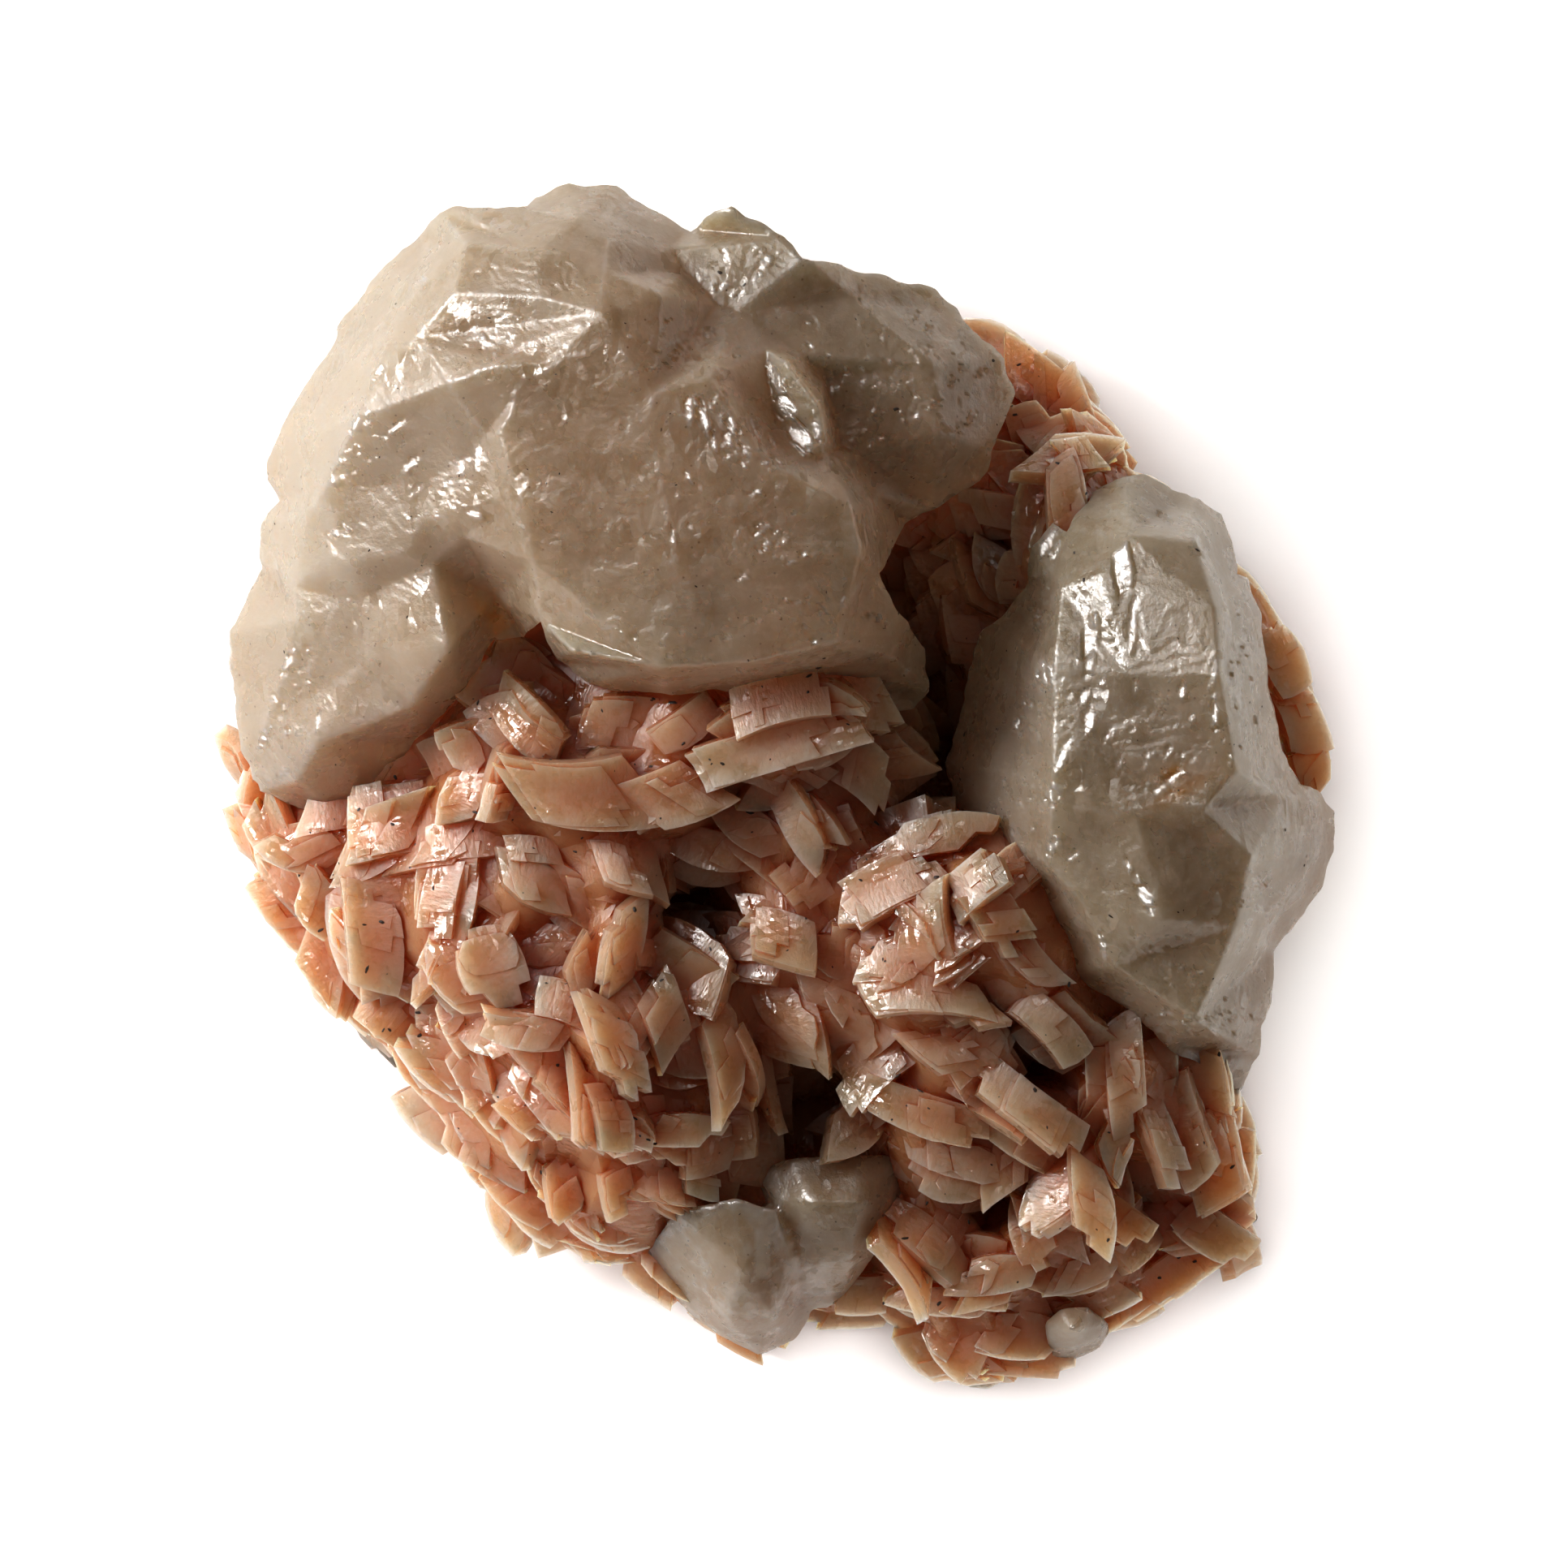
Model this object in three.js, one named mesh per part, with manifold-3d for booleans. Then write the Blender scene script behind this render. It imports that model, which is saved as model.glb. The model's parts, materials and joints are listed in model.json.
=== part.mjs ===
// A dolomite cluster: pink saddle-shaped dolomite crystals on one crust, with large pale calcites grown on it.
// Millimetres, +Z up. The crust is cut off flat at its base, and the specimen is longest along +Y.

import * as THREE from 'three';
import { ConvexGeometry } from 'three/addons/geometries/ConvexGeometry.js';
import { mergeVertices } from 'three/addons/utils/BufferGeometryUtils.js';
import Module from 'manifold-3d';

const wasm = await Module();
wasm.setup();

// Driving sizes
const SEAT_GAP = 0.3; // between a calcite and the crust it sits in
const MITRE_LIMIT = 0.1; // a sharp corner of a seat reaches no further than the gap divided by this
const WELD = 1e-4; // corners closer than this are one
const CRUST_SINK = 1.2; // how far the crust's surface lies under the middle of each blade
const MARK_REACH = 0.05; // rounds the crust's surface off at a height mark
const MARK_POWER = 3.5; // how quickly a height mark loses its weight with distance
const CRUST_RINGS = [0.4, 0.7, 0.9]; // the crust's upper rings, as parts of its outline
const RIM_LEVEL = 0.5; // height of the crust's widest edge, as a part of its height just inside
const WAIST = { reach: 0.96, level: 0.2 }; // the crust draws in below its widest edge
const BASE_REACH = 0.84; // the flat cut base, as a part of the outline
const SIDES = [{ reach: 0.975, level: 0.5 }, { reach: 0.9, level: 0 }]; // a large calcite draws in below
const SIDE_BASE = 3.5; // height of its underside
const BLADE_STEPS = { along: 2, across: 1 };
const BLADE_CURVE = { along: -0.055, across: 0.07 }; // a saddle: the ends bend down, the long edges turn up
const BLADE_SKEW = 0.2; // a blade's ends are slanted, as on a rhomb
const BLADE_TAPER = 0.12; // and its corners are drawn in a little

// The crust's outline seen from above, anticlockwise from the east
const CRUST_OUTLINE = [
  [39.6, 1.5], [38.3, 5.5], [37, 10], [35.5, 12], [33, 15], [31, 18], [29, 20], [26, 22.5], [25, 24.6],
  [24, 26.6], [22.3, 27.6], [22, 29], [20, 30.6], [18.3, 31.6], [14, 33], [10, 34], [5, 36], [0, 38],
  [-5, 39.5], [-10, 40], [-16, 40.5], [-22, 39.5], [-27, 37], [-31, 33], [-34, 28], [-35.5, 22], [-36, 16],
  [-37.5, 11], [-37.5, 6], [-38, 2], [-39.8, 0.8], [-39.6, -0.8], [-40.1, -2.5], [-39.4, -5], [-37.5, -8],
  [-34.5, -13], [-31.8, -16.5], [-31, -18.3], [-28.4, -20], [-26.5, -22], [-26, -24], [-25, -25.5],
  [-23, -27.8], [-21, -29], [-20.7, -30.8], [-18, -32.8], [-15.5, -33.9], [-11, -35.3], [-7.2, -38.8],
  [-1.8, -41.5], [1, -40.3], [2, -38.8], [4.5, -39.2], [8, -38.5], [10.2, -40], [12.5, -43.2], [14, -43.6],
  [16.5, -43], [19.5, -43.6], [22, -42.2], [24.5, -40], [26.5, -39.2], [30, -37], [32, -34.8], [34, -33.6],
  [33.4, -31.5], [33.8, -29], [34.2, -27], [33.6, -25], [32.9, -23.3], [33, -20], [34, -16], [34.5, -12],
  [36.5, -9], [38, -5], [38.6, -2],
];

// Heights of the crust where no blade sets them: x, y, z
const CRUST_HEIGHTS = [
  // under the upper calcites
  [-28, 28, 14], [-20, 32, 16], [-10, 30, 18], [0, 28, 16], [8, 30, 10], [-24, 20, 16], [-14, 16, 18],
  [-4, 14, 18], [-34, 10, 8], [-28, 8, 12], [-34, 2, 8],
  // under the right calcites
  [24, 14, 14], [30, 8, 12], [20, 4, 12], [28, -6, 12], [34, -6, 8], [28, -14, 12],
  // under the lower calcites
  [-4, -35, 7], [4, -32, 8], [4, -37, 5], [21.5, -40.5, 6],
  // the hollow between the upper and right calcites
  [10, 14, 8], [10, 8, 6], [11, 2, 5], [12, -1, 8], [11, 19, 12],
  // the deep gaps between the blades
  [-7, -7.5, 15], [1.5, -23, 9], [1, -26, 9], [4, -24, 10], [15.5, -31, 9], [26.5, -30, 9], [18.5, -20.5, 15],
];

// The dolomite blades: x, y, z of the middle, heading, pitch and roll in degrees, length, width, thickness
const BLADES = [
  // the high ridge under the centre calcite
  [-18.9, 4.6, 28, -45, 10, 18, 6.4, 3.8, 2], [-15.3, -0.8, 29, 0, 0, -8, 10.6, 5, 3],
  [-8.6, -1.1, 28.5, 20, 0, -6, 6.8, 4.6, 2.6], [-0.4, 2.9, 30, 17, 4, 8, 12.6, 3.3, 3],
  [-0.3, 6.3, 31.5, 15, 3, -12, 7.4, 3.8, 2.4], [3.7, 6.2, 31, -40, -8, 22, 4.8, 3.2, 2],
  [5.8, 1.3, 26, -40, -12, 0, 5.8, 4, 2], [1.3, -2.7, 27, -58, -6, 30, 6.8, 3, 2],
  [-2, -3.5, 25, -40, -8, 12, 6.4, 3.2, 2], [-4.7, -4.9, 24, -12, -4, 10, 7, 3, 2.2],
  [-12, -6.3, 27, -15, 4, -20, 3.8, 3.4, 2], [-17.5, 7, 24, -35, 0, 25, 5.4, 3.6, 2],
  [-12.3, 4.8, 27, 0, 0, 14, 5.6, 4, 2.2], [-7.2, 4.3, 29, 35, 8, 10, 5.4, 2.8, 2],
  // the middle
  [1.6, -7.6, 24, -55, -10, -10, 4.8, 3.4, 2], [0, -11.7, 25, -15, 8, -24, 5.2, 4.2, 2],
  [4, -12.3, 23.5, -10, -6, 14, 4.4, 4, 2], [8, -7.4, 26, 25, 6, -14, 7.8, 3.8, 2.2],
  [11, -3.9, 25.5, 12, 4, -12, 9, 2.8, 2.4], [14.3, -7.4, 28.5, 40, 12, -22, 5, 3.4, 2],
  [16, -10.5, 28, -60, -8, -18, 5.4, 3.6, 2], [18, -13, 26, -48, -16, -10, 6.4, 2.4, 2],
  [10, -10, 27, -80, 0, 38, 4.6, 2.6, 2], [12.5, -11.5, 27, 35, 10, -18, 5.2, 3.2, 2],
  [8.5, -13.8, 26, 10, 0, -18, 4.8, 3, 2], [10.6, -15.5, 26, -3, 0, -10, 9.4, 2.8, 2.4],
  [-6.5, -10.8, 16.5, -5, 0, 6, 6.4, 4.2, 2],
  // the left slope
  [-22.7, 3.2, 25, 15, 4, 14, 5.8, 3.8, 2.2], [-23.4, -0.6, 25, 70, 4, -20, 4.8, 3.4, 2],
  [-21.2, -0.8, 27, 75, 0, 48, 4.2, 2.2, 2], [-23, -4, 23.5, 5, 4, -10, 6.8, 3.2, 2.2],
  [-18.6, -7.4, 25.5, -25, -4, -14, 5.4, 3.4, 2], [-17.3, -12, 22.5, -40, 0, 12, 5.2, 4.2, 2],
  [-25.3, -8.6, 23, 80, 4, -22, 5.8, 2.8, 2], [-30.3, -11.3, 19.5, -85, -8, -6, 8.2, 4.2, 2.4],
  [-32.3, -11.6, 18, -84, -8, 50, 5, 2.2, 2], [-34.5, -8.5, 15, -50, -6, 20, 5.4, 3.8, 2],
  [-28.9, -3.6, 21, 15, 6, -8, 5.8, 3.4, 2], [-27.3, 1.4, 18.5, 55, 10, 6, 6.4, 3.6, 2],
  [-21.6, -13.6, 24, -70, 0, -6, 6.4, 5, 2.2], [-25.2, -11.6, 22, 62, 6, -45, 4.6, 2, 1.8],
  [-18.5, -18.3, 24, -8, 0, 8, 7.2, 2.9, 2.4], [-16, -16.2, 24.5, -20, 0, -8, 4.8, 3, 2],
  [-28.5, -17.2, 14, -35, -6, 8, 5.8, 4, 2.2], [-27.2, -19.9, 11.5, -65, -8, 14, 5.2, 3.2, 2],
  [-23.5, -18, 18, -60, 0, 22, 6, 3, 2], [-37.9, -3.4, 11, -60, -4, 20, 4.8, 3.4, 2.4],
  [-35.2, -4.8, 15.5, -20, 0, 10, 5.4, 3.8, 2.4], [-33, -1.8, 16, 10, 4, -4, 5.4, 3.2, 2.2],
  [-36.6, -9.6, 10, -52, -6, 24, 6.4, 2.8, 2.2], [-33.6, -13.8, 11.5, -50, -6, 18, 6, 3.2, 2.2],
  [-38.9, 0.1, 10, 75, 0, 26, 3.4, 2.2, 2],
  // the left mound
  [-12, -12.1, 27, 80, 6, 36, 6.8, 3.2, 2], [-12.6, -19.2, 27, -70, -6, -26, 8.4, 3.4, 2.2],
  [-8.9, -17.3, 25.5, -70, -6, -20, 5.4, 3.4, 2], [-7.3, -13.6, 24, -32, -10, 10, 6.8, 3.6, 2.2],
  [-7.9, -21.2, 21, 0, 0, -8, 4, 3, 2], [-4.3, -20.5, 23.5, -80, -6, -34, 8, 3, 2.2],
  [-7.8, -25.5, 21, -2, 0, 8, 6.8, 2.6, 2.2], [-3.3, -25.4, 18.5, -85, -8, 16, 4.8, 3, 2],
  [-12.7, -24.6, 24, -75, -6, -20, 5.4, 2.8, 2], [-14.5, -23.4, 23.5, -85, -6, -28, 7.4, 2.6, 2],
  [-18.4, -24.5, 19.5, -40, -4, -6, 4.8, 3.4, 2], [-17, -21.9, 22, -45, -4, -28, 5.4, 2.4, 2],
  [-21.5, -23.2, 15.5, -55, -6, 22, 5.8, 3.4, 2.2], [-9, -29.6, 17, -15, -6, -6, 4.8, 2.8, 2],
  [-12.4, -29.8, 17.5, -80, -8, -18, 4.6, 2.6, 2], [-16.3, -29.9, 14.5, -80, -8, -14, 4.8, 3, 2.2],
  [-18.6, -30, 10.5, -40, -8, 16, 6, 4.6, 3], [-24, -25.2, 10.5, -45, -6, 18, 5, 3.6, 2.6],
  [-21.6, -27.4, 11, -30, -6, 10, 4.6, 3, 2.4], [-12.6, -33.2, 8.5, -15, -6, 12, 6.2, 3, 2.6],
  [-8.6, -35.4, 9, -38, -6, 10, 5.6, 3, 2.4], [-3.6, -40.6, 4.8, -28, -2, 10, 6, 2.4, 2.2],
  // the valley
  [0.6, -17.2, 21.5, -80, -8, 16, 6.6, 5, 2], [-1.9, -21.4, 18.5, -80, -8, 40, 7.4, 2.6, 2],
  [4.4, -14.2, 23, -75, -8, 10, 5, 3.2, 2],
  // the right mound
  [6.5, -20.8, 20.5, 45, 10, -10, 7, 4, 2.2], [12.4, -20, 23, -40, -6, -12, 5.4, 3.8, 2.2],
  [18, -24, 22.5, -37, -4, -14, 10, 3, 2.8], [10.5, -24.4, 20.5, -18, -4, 6, 9.8, 3.2, 2.6],
  [13, -27.7, 18, -12, -6, 12, 8.4, 2.8, 2.2], [16.6, -27.8, 17.5, 35, 0, 14, 5.4, 3.8, 2.2],
  [19.9, -18, 24, -45, -10, -10, 6.6, 2.8, 2.4], [15.6, -19, 22.5, -50, -8, 8, 5.4, 2.8, 2],
  [22.8, -31, 20.5, -86, -10, -12, 6.8, 3.2, 2.6], [25.2, -21.4, 21, -86, -6, -6, 9, 2.9, 2.4],
  [27.6, -26, 19, -68, -8, -34, 8.8, 2.6, 2.2], [29.8, -25.6, 17, -72, -10, 16, 8.4, 3.2, 2.2],
  [31.8, -27, 13.5, -78, -6, 22, 8.6, 3.8, 2.6], [31.4, -33, 10, -35, -8, 4, 7.4, 3.4, 2.6],
  [31, -21.4, 16.5, -80, -8, -8, 5.2, 3.4, 2.2], [28, -36.3, 7.5, 34, 0, 12, 8.6, 3.4, 2.6],
  [22.4, -35.8, 12.5, 16, 0, 8, 5.4, 2.6, 2.2], [28.4, -32.6, 9.5, -40, -4, 4, 6, 3.6, 2.4],
  // the curved blades of the bottom edge
  [10.4, -33.8, 15, -42, -6, -26, 8.2, 3.2, 2.2], [15.4, -36.2, 14, 6, 0, -20, 6.6, 3, 2.2],
  [18.3, -32.6, 15, -78, -4, 16, 6.8, 3.2, 2.2], [12.6, -37.9, 11, -6, -2, 6, 9.2, 2.8, 2.4],
  [6.6, -37.6, 8.5, 6, 0, 8, 5, 3, 2.2], [12.8, -41, 7.5, -50, -4, 8, 5.8, 4.2, 3],
  [17, -40.4, 8.5, -10, 0, -4, 6.4, 4, 2.6], [24.6, -38.2, 8, 32, 0, 6, 6, 3.2, 2.4],
  // the upper right edge
  [20.9, 20.2, 25, -86, 4, -8, 8.4, 3, 2.8], [21.3, 24.2, 24, 8, 0, -16, 3.8, 2.6, 2],
  [16.4, 20.2, 18.5, -10, -4, 6, 6.8, 2.6, 2.2], [15.4, 17.2, 14, -22, -6, 10, 6.6, 3.4, 2],
  [19.1, 16.8, 23, 75, 0, 40, 4.8, 2.4, 2], [18.6, 29.6, 13, -35, 0, -10, 5.6, 4, 2.4],
  [23.2, 25.4, 12, -50, -6, -16, 5, 3, 2.4], [24.6, 23.2, 12.5, -40, -4, -12, 4.4, 3, 2.4],
  [13.2, 10.8, 14, -80, -4, -18, 6.4, 2.8, 2.2], [14.4, 15, 15.5, -75, 0, -22, 5, 3, 2.2],
  [18.6, 25.6, 15.5, -60, 0, -6, 5.6, 3.4, 2.2],
  // the rim behind the right calcites
  [36.8, 9, 10.5, -64, 0, -20, 5.4, 3.4, 2.6], [38.2, 4.6, 9.5, -68, 0, -22, 5.2, 3.2, 2.6],
];

// The large calcites: the named corners of their facets, x, y, z, and the facets, anticlockwise
const UPPER_CALCITES = {
  middle: [-13, 22],
  corners: {
    // rounded crystal at the far left
    c1: [-40.8, 11.2, 19], c2: [-40.7, 7, 18], c3: [-40.2, 2.5, 16], c4: [-38.5, -0.5, 15],
    c5: [-36, -1.9, 14], c6: [-33, -2.1, 15], c7: [-30, -0.6, 17], c8: [-27.5, 3, 20], c9: [-24, 6.5, 25],
    c10: [-21.5, 10.5, 26], c11: [-21.3, 13.8, 29], c12: [-38.5, 15.9, 19], c13: [-31.4, 13.8, 28.6],
    c14: [-31.3, 9, 27.4], c15: [-34.5, 3, 24], c16: [-36, 0.3, 20], c21: [-24.8, 10, 33],
    c17: [-35.8, 12.3, 26], c18: [-38.2, 4.5, 21], c19: [-27.5, 5.8, 28.5], c20: [-26, 16.3, 33],
    // lumps between it and the left slab
    l1: [-38.4, 19.5, 21], l2: [-38.6, 17.3, 20], l3: [-37.4, 21, 22], l4: [-35.2, 19.8, 28.5],
    l5: [-33.4, 16.8, 30], l6: [-36.2, 14.6, 26], l7: [-31.8, 16.2, 31], l8: [-28.2, 16.9, 33],
    l9: [-26.6, 19.3, 34.5],
    // left slab
    s1: [-38.1, 22.4, 21], s2: [-37.8, 25, 22], s3: [-35, 30, 23], s4: [-32, 35, 23.5], s5: [-30, 38, 24],
    s6: [-27, 40.3, 25], s7: [-34, 21.8, 31], s8: [-31.5, 27, 34.5], s9: [-29.5, 31.5, 34.6],
    s10: [-27.2, 36.5, 33], s11: [-27.4, 33, 36.2], s12: [-24.3, 29.8, 39.4], s13: [-22.5, 25.3, 38],
    s14: [-26, 22.5, 35.4], s15: [-28, 27, 35.8],
    // middle crystal
    m1: [-19.8, 21.5, 39.4], m2: [-18.6, 16.5, 38.3], m3: [-18, 12, 34.5], m4: [-19.3, 10.8, 27],
    m5: [-20, 11.9, 27], m6: [-23.5, 18.3, 35],
    // top crystal and the one behind it
    t2: [-25.3, 42.2, 29], t3: [-24.3, 42.6, 30], t5: [-19, 42.6, 31], t6: [-15.5, 41.8, 34],
    t7: [-12.7, 40, 36], t9: [-23.5, 40, 35], t10: [-24.3, 36.3, 37.5], t11: [-18, 39.3, 37.5],
    t13: [-12.8, 37.8, 38.5], t15: [-20.5, 31, 40.5], t16: [-18, 36, 39.5], h2: [-18.4, 43.4, 27],
    h3: [-15.8, 44.3, 27], h4: [-12.5, 44.2, 27], h5: [-10, 42.6, 27.5], h6: [-6.9, 41, 28],
    h8: [-12, 42.3, 31],
    // centre block
    b1: [-21, 25.8, 39.8], b2: [-17.2, 31.3, 40.7], b3: [-13.4, 34.8, 40.6], b4: [-9, 36.2, 38.5],
    b10: [-16.8, 9.2, 28], b11: [-14.5, 7.4, 29], b12: [-9, 6.5, 30], b13: [-3.5, 7, 30.5],
    b14: [3, 8.3, 31], b16: [8.4, 12.8, 32.5], b17: [7.2, 15.6, 34], b18: [5.7, 17.5, 39.2],
    b19: [5, 20.5, 39.2], b20: [4.4, 22, 38], j1: [-15.6, 9.8, 38], j2: [-9, 8.6, 38.6],
    j3: [-2.5, 9, 38.4], j4: [4, 10.6, 38.2], k1: [-9.8, 29, 40.7], k2: [-9.3, 23.5, 40.6],
    k3: [-8, 16.5, 40.3], k4: [-1, 23.5, 40.1], k5: [-1.5, 16, 40], n1: [-5.5, 30, 40.2],
    w1: [-19.8, 28.5, 40.2],
    // rhomb on the upper edge, and the dark facet beside it
    r1: [-8.2, 39.6, 31.8], r3: [-4.9, 42.4, 31.8], r4: [-3.9, 42.7, 32], r5: [0, 40.4, 32.3],
    r6: [1.6, 38.9, 32.8], r7: [-3.1, 34.9, 33.2], r8: [-5, 35.4, 33], r9: [-7.3, 37.8, 32.4],
    v1: [-4, 33.5, 35], x1: [1.3, 31.7, 33.5], x2: [5, 36, 31], x3: [4, 25, 31.6], x4: [3, 30, 32],
    // bright lens
    e1: [-1.3, 32.2, 34.5], e2: [0.2, 31.2, 37], e3: [2.8, 27.8, 37.6], e4: [3.2, 25.5, 37],
    e5: [3.1, 24, 36.5], e6: [1, 24, 38], e7: [-0.7, 27.3, 35.5],
    // broad crystal of the upper right
    f2: [8.9, 19.1, 27], f3: [7, 21.3, 31], d2: [5.5, 38, 29], d3: [10, 37, 26], d4: [11.5, 36.3, 25],
    d5: [12.8, 35, 25], d6: [13.3, 34.1, 26], d7: [16.4, 31.5, 25], d8: [17, 29, 25],
    d9: [15.3, 24.5, 26], d10: [14.6, 22.2, 25], d11: [11, 20.2, 27], d13: [5.2, 24.5, 31.6],
    d15: [11, 31, 31.9], d16: [11.5, 26, 31.6],
    // lower right crystal of the centre
    g1: [8.4, 9.2, 30.5], g3: [10.5, 10.2, 25], g4: [10.7, 7, 23.5], g5: [9.6, 5.5, 22.5],
    g6: [7.2, 5.1, 23], g7: [4.7, 6.2, 25], g8: [6, 8.7, 31],
  },
  facets: [
    'c12 c1 c2 c18 c17', 'c2 c3 c4 c16 c18', 'c4 c5 c6 c16', 'c17 c18 c16 c15 c14 c13', 'c15 c16 c6 c7',
    'c14 c15 c7 c8 c19', 'c19 c8 c9', 'c13 c14 c19 c21 c20', 'c19 c9 c21', 'c9 c10 c21',
    'c10 c11 c20 c21', 'l1 l2 c12 l6 l4 l3', 'l4 l6 l5', 'c12 c17 l6', 'l6 c17 c13 l7 l5', 'l3 l4 s7 s1',
    'l4 l5 l7 s7', 's1 s7 s8 s3 s2', 's3 s8 s9 s5 s4', 's5 s9 s11 s10 s6', 's7 l7 l8 l9 s14 s15 s8',
    's15 s14 s13 s12', 's8 s15 s12 s11 s9', 's13 s14 l9 m6 m1 b1', 'l9 l8 c20', 'l7 c13 c20 l8',
    'm6 l9 c20 c11', 'm1 m6 c11 m5 m4 m3 m2', 's12 s13 b1 w1 b2 t15', 's6 s10 t10 t9 t2', 's10 s11 t10',
    't2 t9 t11 t5 t3', 't9 t10 t16 t11', 't10 s11 s12 t15 b2 b3 t16', 't16 b3 t13 t11',
    't11 t13 t7 t6 t5', 't5 t6 h3 h2', 't6 t7 h8 h4 h3', 't13 b4 r9 r1 t7', 't7 r1 h6 h5 h8', 'h8 h5 h4',
    'r1 r9 r8 r7 r6 r5 r4 r3 h6', 'r7 e1 x1 x2 r6', 'b4 r8 r9', 'r8 v1 r7', 'r7 v1 e1',
    'b2 w1 b1 m1 k2 k1 b3', 'm1 m2 m3 j1 j2 k3 k2', 'm3 b10 b11 b12 j2 j1', 'k3 j2 j3 k5', 'k2 k3 k5 k4',
    'k5 j3 j4 b18 b19 k4', 'j2 b12 b13 j3', 'j3 b13 b14 g8 j4', 'j4 g8 g1 b16 b17 b18', 'k1 k2 k4 n1',
    'n1 k4 e6 e7 e1 v1', 'k1 n1 v1 r8 b4', 'b3 k1 b4 t13', 'e1 e7 e6 e5 e4 e3 e2', 'e1 e2 e3 e4 x3 x4 x1',
    'k4 b19 b20 e5 e6', 'e4 e5 b20 d13 x3', 'b18 b17 f2 f3 b20 b19', 'b20 f3 d13', 'f3 f2 d11 d16 d13',
    'd16 d11 d10 d9', 'd16 d9 d8 d7 d15', 'x3 d13 d16 d15 x4', 'x1 x4 d15 x2', 'x2 d15 d7 d6 d5 d4 d3',
    'r6 x2 d3 d2', 'b14 g7 g6 g5 g4 g1 g8', 'g1 g4 g3 b16',
  ],
};

const RIGHT_CALCITES = {
  middle: [26, 1],
  corners: {
    // upper edge and right edge
    q1: [22.8, 21.5, 25], q2: [25.2, 22.8, 24], q3: [26.8, 22.8, 23], q4: [30, 21.3, 21],
    q5: [32.3, 20, 19], q6: [33, 18, 19], q7: [33.6, 15.4, 20], q8: [34.4, 15, 19.5], q9: [35.3, 12, 20],
    q10: [36, 6.5, 21], q11: [36.8, 2.5, 20], q12: [38, 0, 17], q13: [39.5, -0.6, 14.5],
    q14: [40.8, -2, 12.5], q15: [40.6, -5, 12], q16: [39.8, -7.5, 12], q17: [38.5, -9.5, 12],
    q18: [37.3, -10.9, 12.5], q19: [36.3, -12.2, 13], q20: [36, -16, 13.5], q21: [35, -20, 12],
    q22: [33.5, -23, 10.5],
    // lower edge and left edge
    q23: [31.2, -21, 17], q24: [28.5, -19.5, 20], q25: [26, -17, 21.5], q26: [23, -15.3, 22],
    q27: [20.6, -13.8, 21.5], q28: [18.6, -10, 21.5], q29: [16.8, -6.5, 21], q30: [14.3, -3.3, 20],
    q31: [12.6, -1, 19], q32: [12.1, 1.5, 19], q33: [12.8, 4, 19.5], q34: [13.6, 7, 20],
    q35: [14.5, 11, 21], q36: [16.5, 13, 23], q37: [18, 15, 25], q38: [18.4, 17.8, 26],
    q39: [19.8, 19.2, 27], q40: [21, 18.5, 28.5],
    // left ridge
    w1: [20.5, 14.5, 31], w2: [20, 9, 33], w3: [19.9, 0, 33], w4: [19.6, -6, 29.5],
    // main face, lower crystal and right crystal
    y1: [25.5, 18.5, 31.5], y2: [30.5, 18, 30.5], y3: [32, 13, 34], y4: [32.3, 8, 35.3],
    y5: [33.5, 1, 34], y6: [26, -2.4, 33.4], y7: [31, -2, 33.8], y8: [34.6, -5.3, 31.4],
    y9: [22, -8.8, 29.8], y10: [28, -10, 32], y11: [33.5, -10.5, 29.8], y12: [30.5, -17.5, 26.2],
    y13: [24.5, -13.5, 27.6], y14: [36.8, -1, 24], y15: [35.7, -9, 22], y16: [25.5, 8, 34],
    y17: [23.5, 15.5, 32.5],
  },
  facets: [
    'q38 q37 w1 q40 q39', 'q37 q36 q35 w2 w1', 'q35 q34 q33 q32 w3 w2', 'q32 q31 q30 q29 w4 w3',
    'q29 q28 y9 w4', 'q28 q27 y13 y9', 'q27 q26 q25 q24 y12 y13', 'y12 q24 q23 q22 q21',
    'y12 q21 q20 q19 y11', 'y10 y13 y12 y11', 'y9 y13 y10', 'w4 y9 y10 y6', 'y6 y10 y11 y8 y7',
    'w3 w4 y6', 'w2 w3 y6 y7 y5 y4 y16', 'w1 w2 y16 y17', 'y17 y16 y4 y3 y1', 'y1 y3 y2',
    'q40 w1 y17 y1 q1', 'q1 y1 q3 q2', 'y1 y2 q4 q3', 'y2 q6 q5 q4', 'y2 y3 q7 q6', 'y3 y4 q10 q9 q8 q7',
    'y4 y5 q11 q10', 'y5 y14 q12 q11', 'y5 y7 y8 y14', 'y14 y8 y15 q17 q16 q15 q14 q13 q12',
    'y15 q19 q18 q17', 'y8 y11 q19 y15',
  ],
};

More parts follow.
